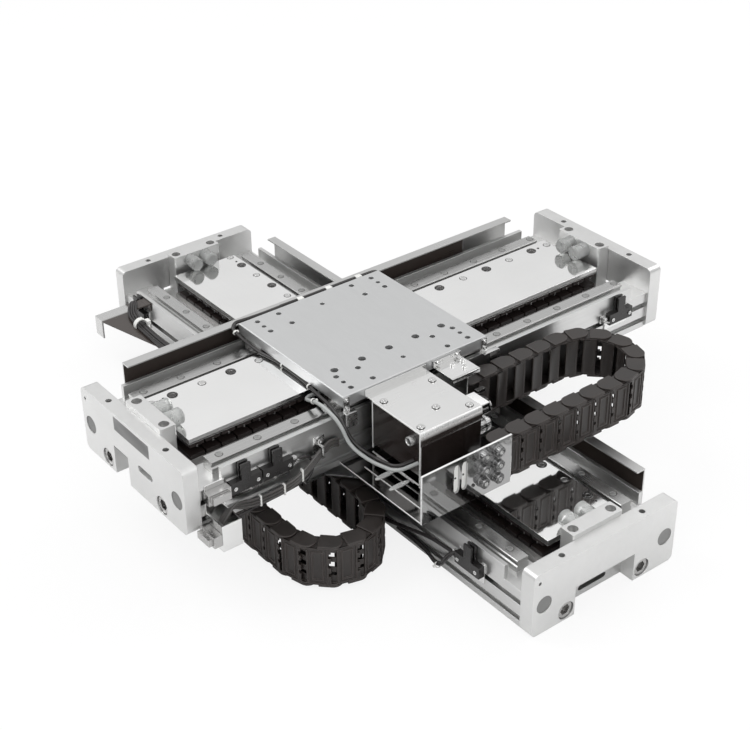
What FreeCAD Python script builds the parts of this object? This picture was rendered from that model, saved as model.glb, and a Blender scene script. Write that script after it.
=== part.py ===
import FreeCAD, Part
import math
import os
from collections import namedtuple

import Sketcher
from FreeCAD import Placement, Rotation, Vector

# A cross-stacked linear-motor stage in millimetres, Z up.
# The origin is the centre of the lower base on the surface that it stands on.
# The lower axis runs along X. The upper axis is the same section, turned a quarter and set on the
# lower table. Every axis is drawn with its travel along x and its far side towards y.

SIZES = {
    # overall sizes and where the two tables stand at rest
    "lower_length": 992,
    "upper_length": 832,
    "lower_rest": 52,
    "upper_rest": -47,
    "stage_shift": 5,
    # end plates
    "plate_width": 250,
    "plate_height": 97,
    "plate_thickness": 22,
    "plate_round": 8,
    "notch_width": 104,
    "notch_height": 44,
    "front_notch_width": 36,
    "front_notch_offset": 30,
    "front_slot_length": 35,
    "front_slot_width": 10,
    "front_slot_level": 43,
    "front_slot_offset": -31,
    "front_slot_depth": 8,
    "plug_spread": 212,
    "plug_level": 45,
    "plug_diameter": 25,
    "plug_depth": 6,
    "plug_sink": 1,
    "clamp_spread": 134,
    "clamp_level": 14.5,
    "clamp_bore": 26,
    "clamp_shank": 16,
    "clamp_head": 24,
    "clamp_head_height": 14,
    "clamp_bore_depth": 16,
    "clamp_key": 14,
    "clamp_key_depth": 8,
    "clamp_reach": 30,
    "lifting_spread": 140,
    "lifting_hole": 8.5,
    "lifting_depth": 22,
    "side_hole": 5,
    "side_hole_offset": 115,
    "side_hole_level": 82,
    "side_hole_depth": 10,
    # extruded base
    "base_width": 242,
    "floor_level": 40,
    "ledge_level": 56.5,
    "channel_width": 144,
    "wall_thickness": 6,
    "wall_level": 77,
    "wall_setback": 35,
    "groove_low_level": 13,
    "groove_high_level": 38,
    "groove_mouth": 8,
    "groove_inside": 14,
    "groove_lip": 3,
    "groove_depth": 9,
    "core_length": 49,
    "core_height": 8,
    "core_level": 12,
    # guide rails and linear blocks
    "rail_spread": 182,
    "rail_width": 20,
    "rail_height": 17.5,
    "rail_setback": 34,
    "rail_waist": 2,
    "rail_waist_low": 7,
    "rail_waist_high": 14.5,
    "rail_edge": 1,
    "block_width": 44,
    "block_length": 76,
    "block_height": 30,
    "block_floor": 4.5,
    "block_spacing": 164,
    "block_running_gap": 0.4,
    "seal_thickness": 7,
    "seal_inset": 1.5,
    # table plates
    "table_width": 240,
    "table_length": 246,
    "table_thickness": 16,
    "table_edge": 1,
    "guide_bolt_across": 32,
    "guide_bolt_along": 36,
    "guide_bolt_hole": 8,
    "work_hole_along": 200,
    "work_hole": 6.8,
    "coil_bolt_hole": 11,
    "coil_bolt_pitch": 46,
    # magnet way and coil unit
    "way_width": 116,
    "way_offset": 9,
    "way_setback": 34,
    "way_plate": 8,
    "way_spacer": 24,
    "magnet_thickness": 6,
    "magnet_pitch": 24,
    "magnet_length": 21,
    "magnet_width": 88,
    "magnet_edge": 1,
    "motor_gap": 12,
    "blade_thickness": 6,
    "blade_width": 86,
    "coil_length": 216,
    "coil_bar_width": 12,
    "coil_bar_offset": 60.5,
    "coil_bar_level": 50,
    # stoppers and bumpers
    "stopper_width": 86,
    "stopper_offset": 3,
    "stopper_depth": 23,
    "stopper_rise": 7.5,
    "stopper_round": 2,
    "stopper_bolt_spread": 66,
    "stopper_bolt_setback": 11.5,
    "stopper_bolt_bore": 14,
    "stopper_bolt_sink": 9,
    "stopper_bolt_head": 13,
    "stopper_bolt_head_height": 8,
    "stopper_bolt_shank": 8,
    "stopper_bolt_key": 6,
    "stopper_bolt_key_depth": 4,
    "stopper_bolt_reach": 12,
    "bumper_diameter": 22,
    "bumper_length": 25,
    "bumper_level": 93,
    "bumper_spread": 28,
    "bumper_edge": 2,
    # bent sheets
    "sheet": 2,
    "seat_gap": 0.3,
    "guard_reach": 140,
    "guard_flange": 15,
    "guard_level": 26,
    "guard_leg": 22,
    "guard_setback": 50,
    "tray_reach": 210,
    "tray_level": 75,
    "tray_left": -416,
    "tray_arm": 22,
    "tray_arm_leg": 13,
    "tray_lip": 31,
    "tray_strip_inner": 163,
    "tray_strip_outer": 182,
    "tray_strip_bend": -280,
    "tray_middle": -180,
    "tray_right": 182,
    "tray_corner": 147,
    "tray_step": 25,
    "tray_slope": 30,
    "tray_leg": 47,
    # cable chains
    "chain_pitch": 33,
    "chain_thickness": 26,
    "chain_low": 5,
    "chain_width": 65,
    "chain_ear": 3,
    "chain_bar": 2.5,
    "chain_bar_width": 13,
    "chain_gap": 1,
    "lower_chain_turn": 207,
    "lower_chain_offset": 221,
    "upper_chain_turn": 188,
    "anchor_tongue": 20,
    # shelf and gland plate on the upper base
    "shelf_low": 2.7,
    "shelf_front": -178,
    "shelf_rear": -30,
    "shelf_reach": 290,
    "gland_plate_thickness": 3,
    "gland_plate_top": 76,
    "gland_slot_length": 42,
    "gland_slot_width": 9,
    "gland_slot_level": 48,
    "gland_slot_first": -122,
    "gland_slot_pitch": 13,
    "gland_diameter": 16,
    "gland_length": 12,
    "gland_wire": 7,
    "gland_first": -80,
    "gland_pitch": 24,
    "gland_low_level": 26.5,
    "gland_row": 20.5,
    "gland_stagger": 3,
    # connector bracket behind the front plate: an open box with a back that stands up
    "stand_setback": 8,
    "stand_length": 29,
    "stand_width": 37,
    "stand_low": -18,
    "stand_top": 21,
    "stand_back_top": 62,
    "plug_shell_width": 33,
    "plug_shell_height": 16,
    "plug_shell_depth": 12,
    "plug_shell_nose": 26,
    "plug_shell_nose_height": 10,
    "plug_shell_nose_depth": 6,
    "plug_shell_high": 47,
    "plug_shell_low": 1,
    # connector box on the upper table
    "box_front": -135,
    "box_rear": -33,
    "box_inner": 136,
    "box_outer": 234,
    "box_low": 26,
    "box_top": 90,
    "box_wall": 2,
    "cover_thickness": 2,
    "cover_lip": 8,
    "round_plug_diameter": 19,
    "round_plug_length": 22,
    "round_plug_nose": 15,
    "round_plug_nose_length": 8,
    "round_plug_place": 214,
    "round_plug_level": 71,
    "round_plug_drop": 27,
    # bracket that pulls the upper chain
    "tab_level": 88,
    "tab_front": -20,
    "tab_rear": 28,
    "tab_reach": 162,
    # sensors
    "sensor_length": 46,
    "sensor_depth": 9.5,
    "sensor_body": 17,
    "sensor_prong": 22,
    "sensor_prong_length": 14,
    "sensor_prong_thickness": 3,
    "sensor_low": 38,
    "sensor_spacing": 48,
    "lower_sensor_left": 425,
    "lower_sensor_right": 382,
    "upper_sensor_place": 330,
    "sensor_plate": 1.5,
    "sensor_bracket_leg": 12,
    # cords
    "cord": 5,
    "lead": 4,
}

# How many links make the half turn of a chain, and how many lie straight beside it at rest.
BEND_LINKS = 6
STRAIGHT_LINKS = {"lower": {"fixed": 6, "moving": 4}, "upper": {"fixed": 7, "moving": 5}}

document = FreeCAD.newDocument("Stage")
sheet = document.addObject("Spreadsheet::Sheet", "Sizes")
for row, (name, value) in enumerate(SIZES.items(), 1):
    sheet.set("A%d" % row, name)
    sheet.set("B%d" % row, str(value))
    sheet.setAlias("B%d" % row, name)
document.recompute()


# Sizes as formulas


def formula_of(value):
    return value.formula if isinstance(value, Length) else repr(float(value))


def number_of(value):
    return value.number if isinstance(value, Length) else float(value)


class Length:
    """A size of the sheet, or a sum or share of sizes: its formula and its number."""

    def __init__(self, formula, number):
        self.formula = formula
        self.number = number

    def __add__(self, other):
        return Length("(%s + %s)" % (self.formula, formula_of(other)), self.number + number_of(other))

    def __radd__(self, other):
        return Length("(%s + %s)" % (formula_of(other), self.formula), number_of(other) + self.number)

    def __sub__(self, other):
        return Length("(%s - %s)" % (self.formula, formula_of(other)), self.number - number_of(other))

    def __rsub__(self, other):
        return Length("(%s - %s)" % (formula_of(other), self.formula), number_of(other) - self.number)

    def __mul__(self, factor):
        return Length("(%s * %s)" % (self.formula, formula_of(factor)), self.number * number_of(factor))

    __rmul__ = __mul__

    def __truediv__(self, factor):
        return Length("(%s / %s)" % (self.formula, formula_of(factor)), self.number / number_of(factor))

    def __neg__(self):
        return Length("(0 - %s)" % self.formula, -self.number)


class SheetReader:
    """Gives each size of the sheet by its name."""

    def __getattr__(self, name):
        return Length("Sizes." + name, float(sheet.get(name)))


mm = SheetReader()


def bind(thing, path, value):
    thing.setExpression(path, formula_of(value))


# Sketches and the features made from them

Ring = namedtuple("Ring", "across up diameter")
Oblong = namedtuple("Oblong", "left right up width")


def rectangle(left, right, bottom, top):
    return [(left, bottom), (right, bottom), (right, top), (left, top)]


def upright_oblong(across, bottom, top, width):
    """An oblong on end, as eight corners."""
    half, cut = width / 2, width / 4
    return [
        (across - cut, bottom), (across + cut, bottom), (across + half, bottom + half),
        (across + half, top - half), (across + cut, top), (across - cut, top),
        (across - half, top - half), (across - half, bottom + half),
    ]


def mirrored(corners):
    """An outline's corners with their copies on the other side of the middle, in one round."""
    return corners + [(-across, up) for across, up in reversed(corners)]


def origin_feature(body, role):
    for feature in body.Origin.OriginFeatures:
        if feature.Role == role:
            return feature
    raise ValueError(role)


def hold(sketch, geometry, vertex, across, up):
    """Hold one point of a sketch at two formulas, measured from the sketch's origin."""
    for kind, value in (("DistanceX", across), ("DistanceY", up)):
        place = sketch.addConstraint(Sketcher.Constraint(kind, -1, 1, geometry, vertex, number_of(value)))
        bind(sketch, "Constraints[%d]" % place, value)


def flat(point):
    return Vector(number_of(point[0]), number_of(point[1]), 0)


def draw_outline(sketch, corners):
    first = sketch.GeometryCount
    ends = corners[1:] + corners[:1]
    sketch.addGeometry([Part.LineSegment(flat(a), flat(b)) for a, b in zip(corners, ends)], False)
    joints = []
    for place in range(len(corners)):
        after = first + (place + 1) % len(corners)
        joints.append(Sketcher.Constraint("Coincident", first + place, 2, after, 1))
    sketch.addConstraint(joints)
    for place, (across, up) in enumerate(corners):
        hold(sketch, first + place, 1, across, up)


def draw_ring(sketch, ring):
    circle = Part.Circle(flat((ring.across, ring.up)), Vector(0, 0, 1), number_of(ring.diameter) / 2)
    place = sketch.addGeometry(circle, False)
    hold(sketch, place, 3, ring.across, ring.up)
    diameter = Sketcher.Constraint("Diameter", place, number_of(ring.diameter))
    bind(sketch, "Constraints[%d]" % sketch.addConstraint(diameter), ring.diameter)


def draw_oblong(sketch, oblong):
    """Two straight sides with a half round at each end."""
    radius = oblong.width / 2
    left, right = oblong.left + radius, oblong.right - radius
    low, high = oblong.up - radius, oblong.up + radius
    first = sketch.GeometryCount
    turn = math.pi / 2
    round_right = Part.Circle(flat((right, oblong.up)), Vector(0, 0, 1), radius.number)
    round_left = Part.Circle(flat((left, oblong.up)), Vector(0, 0, 1), radius.number)
    sketch.addGeometry([
        Part.LineSegment(flat((left, low)), flat((right, low))),
        Part.ArcOfCircle(round_right, -turn, turn),
        Part.LineSegment(flat((right, high)), flat((left, high))),
        Part.ArcOfCircle(round_left, turn, 3 * turn),
    ], False)
    sketch.addConstraint([
        Sketcher.Constraint("Coincident", first, 2, first + 1, 1),
        Sketcher.Constraint("Coincident", first + 1, 2, first + 2, 1),
        Sketcher.Constraint("Coincident", first + 2, 2, first + 3, 1),
        Sketcher.Constraint("Coincident", first + 3, 2, first, 1),
        Sketcher.Constraint("PointOnObject", first + 1, 3, -1)
        if abs(number_of(oblong.up)) < 1e-9
        else Sketcher.Constraint("Vertical", first + 1, 3, first + 1, 1),
        Sketcher.Constraint("Vertical", first + 3, 3, first + 3, 1),
    ])
    hold(sketch, first, 1, left, low)
    hold(sketch, first, 2, right, low)
    hold(sketch, first + 2, 1, right, high)
    hold(sketch, first + 2, 2, left, high)


def draw(sketch, shape):
    if isinstance(shape, Ring):
        draw_ring(sketch, shape)
    elif isinstance(shape, Oblong):
        draw_oblong(sketch, shape)
    else:
        draw_outline(sketch, shape)


cuts = []


def prism(body, plane, low, high, shapes, cut=False):
    """Pad the shapes, or cut them, from low to high along the axis that stands on their plane."""
    backwards = plane == "XZ_Plane"
    sketch = body.newObject("Sketcher::SketchObject", "outline")
    sketch.AttachmentSupport = [(origin_feature(body, plane), "")]
    sketch.MapMode = "FlatFace"
    bind(sketch, "AttachmentOffset.Base.z", -1 * low if backwards else low)
    for shape in shapes:
        draw(sketch, shape)
    feature = body.newObject("PartDesign::Pocket" if cut else "PartDesign::Pad", "cut" if cut else "pad")
    feature.Profile = sketch
    bind(feature, "Length", high - low)
    feature.Reversed = cut != backwards
    body.Tip = feature
    if cut:
        cuts.append(feature)
    return feature


def round_edges(body, radius, chosen, kind="Fillet"):
    """Round, or bevel, the edges that the test chooses."""
    document.recompute()
    base = body.Tip
    names = ["Edge%d" % place for place, edge in enumerate(base.Shape.Edges, 1) if chosen(edge)]
    feature = body.newObject("PartDesign::" + kind, kind.lower())
    feature.Base = (base, names)
    bind(feature, "Radius" if kind == "Fillet" else "Size", radius)
    body.Tip = feature


def mirror(body, plane, *originals):
    """Mirror the features across one of the body's own planes."""
    document.recompute()
    feature = body.newObject("PartDesign::Mirrored", "mirror")
    feature.Originals = list(originals)
    feature.MirrorPlane = (origin_feature(body, plane), [""])
    body.Tip = feature
    return feature


def row_of(body, original, axis, pitch, count):
    """Repeat a feature along one of the body's own axes."""
    document.recompute()
    feature = body.newObject("PartDesign::LinearPattern", "row")
    feature.Originals = [original]
    feature.Direction = (origin_feature(body, axis), [""])
    bind(feature, "Length", pitch * (count - 1))
    feature.Occurrences = count
    body.Tip = feature
    return feature


def is_along(edge, axis):
    """Whether an edge is straight and lies along x, y or z."""
    if edge.Curve.TypeId != "Part::GeomLine":
        return False
    run = edge.Vertexes[-1].Point - edge.Vertexes[0].Point
    return abs(abs(run.normalize()[axis]) - 1) < 1e-6


def centre_of(edge):
    return edge.BoundBox.Center


# The two axes

Axis = namedtuple("Axis", "name length inner")


def make_axis(name, length):
    """An axis with its length over the end plates and the distance of their inner faces."""
    return Axis(name, length, length / 2 - mm.plate_thickness)


LOWER = make_axis("lower", mm.lower_length)
UPPER = make_axis("upper", mm.upper_length)
AXES = (LOWER, UPPER)

TABLE_LEVEL = mm.ledge_level + mm.block_height
STAGE_LEVEL = TABLE_LEVEL + mm.table_thickness
parts = []


def new_body(label):
    body = document.addObject("PartDesign::Body", label)
    body.Label = label
    body.AllowCompound = True
    parts.append(body)
    return body


def put(thing, axis, along=0.0, across=0.0, turn=0.0):
    """Place a sub-part that is drawn in an axis's own frame."""
    if axis.name == "lower":
        thing.Placement = Placement(Vector(), Rotation(Vector(0, 0, 1), turn))
        bind(thing, "Placement.Base.x", along)
        bind(thing, "Placement.Base.y", across)
    else:
        thing.Placement = Placement(Vector(), Rotation(Vector(0, 0, 1), turn + 90))
        bind(thing, "Placement.Base.x", mm.lower_rest - across)
        bind(thing, "Placement.Base.y", mm.stage_shift + along)
        bind(thing, "Placement.Base.z", STAGE_LEVEL)


def rest_of(axis):
    return mm.lower_rest if axis.name == "lower" else mm.upper_rest


def outward(side, near, far):
    """The span between two distances from the middle, on the side that is asked for."""
    return (near, far) if side > 0 else (-far, -near)


# Extruded base


def groove(level):
    """The corners of one T-shaped groove in the base's side, from its lower lip up."""
    half = mm.base_width / 2
    mouth, inside = mm.groove_mouth / 2, mm.groove_inside / 2
    lip, back = half - mm.groove_lip, half - mm.groove_depth
    low = [(half, level - mouth), (lip, level - mouth), (lip, level - inside), (back, level - inside)]
    high = [(back, level + inside), (lip, level + inside), (lip, level + mouth), (half, level + mouth)]
    return low + high


def make_base(axis):
    body = new_body(axis.name + "_base")
    half, wall = mm.base_width / 2, mm.base_width / 2 - mm.wall_thickness
    side = [(half, 0.0)] + groove(mm.groove_low_level) + groove(mm.groove_high_level)
    side += [(half, mm.wall_level), (wall, mm.wall_level), (wall, mm.ledge_level)]
    side += [(mm.channel_width / 2, mm.ledge_level), (mm.channel_width / 2, mm.floor_level)]
    core = Oblong(-mm.core_length / 2, mm.core_length / 2, mm.core_level, mm.core_height)
    prism(body, "YZ_Plane", -axis.inner, axis.inner, [mirrored(side), core])
    clear = rectangle(axis.inner - mm.wall_setback, axis.inner, mm.ledge_level, mm.wall_level)
    ends = prism(body, "XZ_Plane", -half, half, [clear], cut=True)
    screws = [Ring(side * mm.clamp_spread / 2, mm.clamp_level, mm.clamp_shank + mm.seat_gap)
              for side in (-1, 1)]
    threads = prism(body, "YZ_Plane", axis.inner - mm.clamp_reach, axis.inner, screws, cut=True)
    stopper = [Ring(axis.inner - mm.stopper_bolt_setback, across, mm.stopper_bolt_shank + mm.seat_gap)
               for across in stopper_bolts()]
    seats = prism(body, "XY_Plane", mm.floor_level - mm.stopper_bolt_reach, mm.floor_level, stopper, cut=True)
    mirror(body, "YZ_Plane", ends, threads, seats)
    put(body, axis)


# End plates


def make_plate(axis, side, label):
    """An end plate; the front one of the upper axis has its own narrower notch and a slot."""
    body = new_body(label)
    half = mm.plate_width / 2
    front = axis.name == "upper" and side < 0
    opening = (mm.front_notch_width if front else mm.notch_width) / 2
    left, right = -opening, opening
    if front:
        left, right = mm.front_notch_offset - opening, mm.front_notch_offset + opening
    outline = [
        (-half, 0.0), (left, 0.0), (left, mm.notch_height), (right, mm.notch_height),
        (right, 0.0), (half, 0.0), (half, mm.plate_height), (-half, mm.plate_height),
    ]
    outer = axis.inner + mm.plate_thickness
    prism(body, "YZ_Plane", *outward(side, axis.inner, outer), [outline])
    round_edges(body, mm.plate_round, lambda e: is_along(e, 0) and abs(centre_of(e).y) > half.number - 0.1)
    plugs = [Ring(s * mm.plug_spread / 2, mm.plug_level, mm.plug_diameter) for s in (-1, 1)]
    plugs.append(Ring(-side * mm.side_hole_offset, mm.side_hole_level, mm.side_hole))
    prism(body, "YZ_Plane", *outward(side, outer - mm.plug_depth, outer), plugs, cut=True)
    shanks = [Ring(s * mm.clamp_spread / 2, mm.clamp_level, mm.clamp_shank + mm.seat_gap) for s in (-1, 1)]
    prism(body, "YZ_Plane", *outward(side, axis.inner, outer), shanks, cut=True)
    heads = [Ring(s * mm.clamp_spread / 2, mm.clamp_level, mm.clamp_bore) for s in (-1, 1)]
    prism(body, "YZ_Plane", *outward(side, outer - mm.clamp_bore_depth, outer), heads, cut=True)
    if front:
        middle, reach = mm.front_slot_offset, mm.front_slot_length / 2
        slot = Oblong(middle - reach, middle + reach, mm.front_slot_level, mm.front_slot_width)
        prism(body, "YZ_Plane", *outward(side, outer - mm.front_slot_depth, outer), [slot], cut=True)
    middle = side * (axis.inner + mm.plate_thickness / 2)
    lifting = [Ring(middle, s * mm.lifting_spread / 2, mm.lifting_hole) for s in (-1, 1)]
    prism(body, "XY_Plane", mm.plate_height - mm.lifting_depth, mm.plate_height, lifting, cut=True)
    put(body, axis)


def make_plugs(axis):
    body = new_body(axis.name + "_plugs")
    outer = axis.inner + mm.plate_thickness
    rings = [Ring(s * mm.plug_spread / 2, mm.plug_level, mm.plug_diameter - mm.seat_gap) for s in (-1, 1)]
    discs = prism(body, "YZ_Plane", outer - mm.plug_depth, outer - mm.plug_sink, rings)
    mirror(body, "YZ_Plane", discs)
    put(body, axis)


def hexagon(across, up, key):
    """The six corners of a key socket, with its width across flats given."""
    corner = key / math.sqrt(3)
    half, flat_half = corner / 2, key / 2
    return [
        (across + corner, up), (across + half, up + flat_half), (across - half, up + flat_half),
        (across - corner, up), (across - half, up - flat_half), (across + half, up - flat_half),
    ]


def make_screws(axis):
    """The socket head screws of the end plates and of the stopper blocks."""
    body = new_body(axis.name + "_screws")
    places = [s * mm.clamp_spread / 2 for s in (-1, 1)]
    seat = axis.inner + mm.plate_thickness - mm.clamp_bore_depth
    top = seat + mm.clamp_head_height
    heads = [Ring(place, mm.clamp_level, mm.clamp_head) for place in places]
    shanks = [Ring(place, mm.clamp_level, mm.clamp_shank) for place in places]
    keys = [hexagon(place, mm.clamp_level, mm.clamp_key) for place in places]
    made = [
        prism(body, "YZ_Plane", seat, top, heads),
        prism(body, "YZ_Plane", axis.inner - mm.clamp_reach, seat, shanks),
    ]
    place = axis.inner - mm.stopper_bolt_setback
    high = stopper_top() - mm.stopper_bolt_sink
    seat = high - mm.stopper_bolt_head_height
    bolt_heads = [Ring(place, across, mm.stopper_bolt_head) for across in stopper_bolts()]
    bolt_shanks = [Ring(place, across, mm.stopper_bolt_shank) for across in stopper_bolts()]
    bolt_keys = [hexagon(place, across, mm.stopper_bolt_key) for across in stopper_bolts()]
    made += [
        prism(body, "XY_Plane", seat, high, bolt_heads),
        prism(body, "XY_Plane", mm.floor_level - mm.stopper_bolt_reach, seat, bolt_shanks),
        prism(body, "YZ_Plane", top - mm.clamp_key_depth, top, keys, cut=True),
        prism(body, "XY_Plane", high - mm.stopper_bolt_key_depth, high, bolt_keys, cut=True),
    ]
    mirror(body, "YZ_Plane", *made)
    put(body, axis)


# Guide rails and linear blocks


def rail_profile(grow=0.0):
    """The corners of the rail's right half, from its foot to its top, grown by a running gap."""
    half, base = mm.rail_width / 2 + grow, mm.ledge_level
    waist = half - mm.rail_waist
    return [
        (half, base), (half, base + mm.rail_waist_low), (waist, base + mm.rail_waist_low + mm.rail_waist),
        (waist, base + mm.rail_waist_high - mm.rail_waist), (half, base + mm.rail_waist_high),
        (half, base + mm.rail_height + grow - mm.rail_edge),
        (half - mm.rail_edge, base + mm.rail_height + grow),
    ]


def shifted(corners, across):
    return [(across + place, up) for place, up in corners]


def make_rail(axis, side, label):
    body = new_body(label)
    corners = shifted(mirrored(rail_profile()), side * mm.rail_spread / 2)
    reach = axis.inner - mm.rail_setback
    prism(body, "YZ_Plane", -reach, reach, [corners])
    put(body, axis)


def make_blocks(axis):
    """Four linear blocks that straddle the rails, each with a seal at both ends."""
    body = new_body(axis.name + "_blocks")
    low = mm.ledge_level + mm.block_floor
    half = mm.block_width / 2
    inside = [(across, up) for across, up in rail_profile(mm.block_running_gap)][1:]
    foot = [(inside[0][0], low)]
    housing = [(half, low), (half, TABLE_LEVEL)]
    steel = mirrored(housing[::-1] + foot + inside)
    inset = half - mm.seal_inset
    seal = mirrored([(inset, TABLE_LEVEL - mm.seal_inset), (inset, low)] + foot + inside)
    start = mm.block_spacing / 2 - mm.block_length / 2
    end = start + mm.block_length
    made = []
    for side in (-1, 1):
        place = side * mm.rail_spread / 2
        caps = shifted(seal, place)
        made += [
            prism(body, "YZ_Plane", start + mm.seal_thickness, end - mm.seal_thickness, [shifted(steel, place)]),
            prism(body, "YZ_Plane", start, start + mm.seal_thickness, [caps]),
            prism(body, "YZ_Plane", end - mm.seal_thickness, end, [caps]),
        ]
    mirror(body, "YZ_Plane", *made)
    put(body, axis, along=rest_of(axis))


# Magnet way and coil unit


def way_edges():
    """The near and the far edge of the magnet way."""
    return mm.way_offset - mm.way_width / 2, mm.way_offset + mm.way_width / 2


def way_levels():
    """The levels of the bottom plate, lower magnets, gap, upper magnets and top plate."""
    levels = [mm.floor_level]
    for step in (mm.way_plate, mm.magnet_thickness, mm.motor_gap, mm.magnet_thickness, mm.way_plate):
        levels.append(levels[-1] + step)
    return levels


def make_way_bottom(axis):
    """The bottom plate with the bar that spaces the top plate."""
    body = new_body(axis.name + "_way_bottom")
    near, far = way_edges()
    levels = way_levels()
    inner = far - mm.way_spacer
    outline = [
        (near, levels[0]), (far, levels[0]), (far, levels[4]),
        (inner, levels[4]), (inner, levels[1]), (near, levels[1]),
    ]
    reach = axis.inner - mm.way_setback
    prism(body, "YZ_Plane", -reach, reach, [outline])
    put(body, axis)


def make_way_top(axis):
    body = new_body(axis.name + "_way_top")
    near, far = way_edges()
    levels = way_levels()
    reach = axis.inner - mm.way_setback
    prism(body, "XY_Plane", levels[4], levels[5], [rectangle(-reach, reach, near, far)])
    put(body, axis)


def make_magnets(axis):
    """Two rows of magnets that face each other across the motor gap."""
    body = new_body(axis.name + "_magnets")
    near = way_edges()[0] + mm.magnet_edge
    levels = way_levels()
    reach = axis.inner - mm.way_setback
    count = int((2 * reach.number) // mm.magnet_pitch.number)
    start = -mm.magnet_pitch * (count / 2) + (mm.magnet_pitch - mm.magnet_length) / 2
    outline = rectangle(start, start + mm.magnet_length, near, near + mm.magnet_width)
    for low, high in ((levels[1], levels[2]), (levels[3], levels[4])):
        row_of(body, prism(body, "XY_Plane", low, high, [outline]), "X_Axis", mm.magnet_pitch, count)
    put(body, axis)


def make_coil(axis):
    """The coil unit: its blade in the motor gap and its head bar under the table."""
    body = new_body(axis.name + "_coil")
    levels = way_levels()
    middle = (levels[2] + levels[3]) / 2
    bar_near = -mm.coil_bar_offset - mm.coil_bar_width / 2
    bar_far = bar_near + mm.coil_bar_width
    low, high = middle - mm.blade_thickness / 2, middle + mm.blade_thickness / 2
    tip = bar_far + mm.blade_width
    outline = [
        (bar_near, mm.coil_bar_level), (bar_far, mm.coil_bar_level), (bar_far, low), (tip, low),
        (tip, high), (bar_far, high), (bar_far, TABLE_LEVEL), (bar_near, TABLE_LEVEL),
    ]
    prism(body, "YZ_Plane", -mm.coil_length / 2, mm.coil_length / 2, [outline])
    put(body, axis, along=rest_of(axis))


# Tables


def make_table(axis):
    body = new_body(axis.name + "_table")
    wide, long = mm.table_width / 2, mm.table_length / 2
    prism(body, "XY_Plane", TABLE_LEVEL, STAGE_LEVEL, [rectangle(-long, long, -wide, wide)])
    round_edges(body, mm.table_edge, lambda e: centre_of(e).z > STAGE_LEVEL.number - 0.1, "Chamfer")
    rail = mm.rail_spread / 2
    bolts = []
    for along in (mm.block_spacing / 2 - mm.guide_bolt_along / 2, mm.block_spacing / 2 + mm.guide_bolt_along / 2):
        for side in (-1, 1):
            for step in (-mm.guide_bolt_across / 2, mm.guide_bolt_across / 2):
                bolts.append(Ring(along, side * rail + step, mm.guide_bolt_hole))
    work = [Ring(mm.work_hole_along / 2, side * rail, mm.work_hole) for side in (-1, 1)]
    paired = prism(body, "XY_Plane", TABLE_LEVEL, STAGE_LEVEL, bolts + work, cut=True)
    mirror(body, "YZ_Plane", paired)
    middle = [Ring(0.0, side * rail, mm.work_hole) for side in (-1, 1)]
    middle += [Ring(step * mm.coil_bolt_pitch, -mm.coil_bar_offset, mm.coil_bolt_hole) for step in range(-2, 3)]
    prism(body, "XY_Plane", TABLE_LEVEL, STAGE_LEVEL, middle, cut=True)
    put(body, axis, along=rest_of(axis))


# Stoppers and bumpers


def stopper_top():
    return mm.plate_height + mm.stopper_rise


def stopper_bolts():
    return [mm.stopper_offset + side * mm.stopper_bolt_spread / 2 for side in (-1, 1)]


def make_stopper(axis, side, label):
    body = new_body(label)
    near = mm.stopper_offset - mm.stopper_width / 2
    outline = rectangle(near, near + mm.stopper_width, mm.floor_level, stopper_top())
    prism(body, "YZ_Plane", *outward(side, axis.inner - mm.stopper_depth, axis.inner), [outline])
    round_edges(body, mm.stopper_round, lambda e: is_along(e, 2))
    place = side * (axis.inner - mm.stopper_bolt_setback)
    shanks = [Ring(place, across, mm.stopper_bolt_shank + mm.seat_gap) for across in stopper_bolts()]
    prism(body, "XY_Plane", mm.floor_level, stopper_top(), shanks, cut=True)
    bores = [Ring(place, across, mm.stopper_bolt_bore) for across in stopper_bolts()]
    seat = stopper_top() - mm.stopper_bolt_sink - mm.stopper_bolt_head_height
    prism(body, "XY_Plane", seat, stopper_top(), bores, cut=True)
    put(body, axis)


def make_bumpers(axis):
    body = new_body(axis.name + "_bumpers")
    face = axis.inner - mm.stopper_depth
    rings = [Ring(mm.stopper_offset + side * mm.bumper_spread / 2, mm.bumper_level, mm.bumper_diameter)
             for side in (-1, 1)]
    pads = prism(body, "YZ_Plane", face - mm.bumper_length, face, rings)
    mirror(body, "YZ_Plane", pads)
    free = (face - mm.bumper_length).number
    round_edges(body, mm.bumper_edge, lambda e: abs(abs(centre_of(e).x) - free) < 0.01, "Chamfer")
    put(body, axis)


# Bent sheets


def make_guard(axis):
    """The far guard: a leg on the base's side, a floor, an outer wall and a top flange."""
    body = new_body(axis.name + "_guard")
    outer, top = mm.guard_reach, mm.plate_height
    seat, low = mm.base_width / 2 + mm.seat_gap, mm.guard_level
    inner, leg = outer - mm.sheet, seat + mm.sheet
    edge = outer - mm.guard_flange
    outline = [
        (edge, top), (outer, top), (outer, low), (seat, low), (seat, low + mm.guard_leg),
        (leg, low + mm.guard_leg), (leg, low + mm.sheet), (inner, low + mm.sheet),
        (inner, top - mm.sheet), (edge, top - mm.sheet),
    ]
    reach = axis.inner - mm.guard_setback
    prism(body, "YZ_Plane", -reach, reach, [outline])
    put(body, axis)


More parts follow.
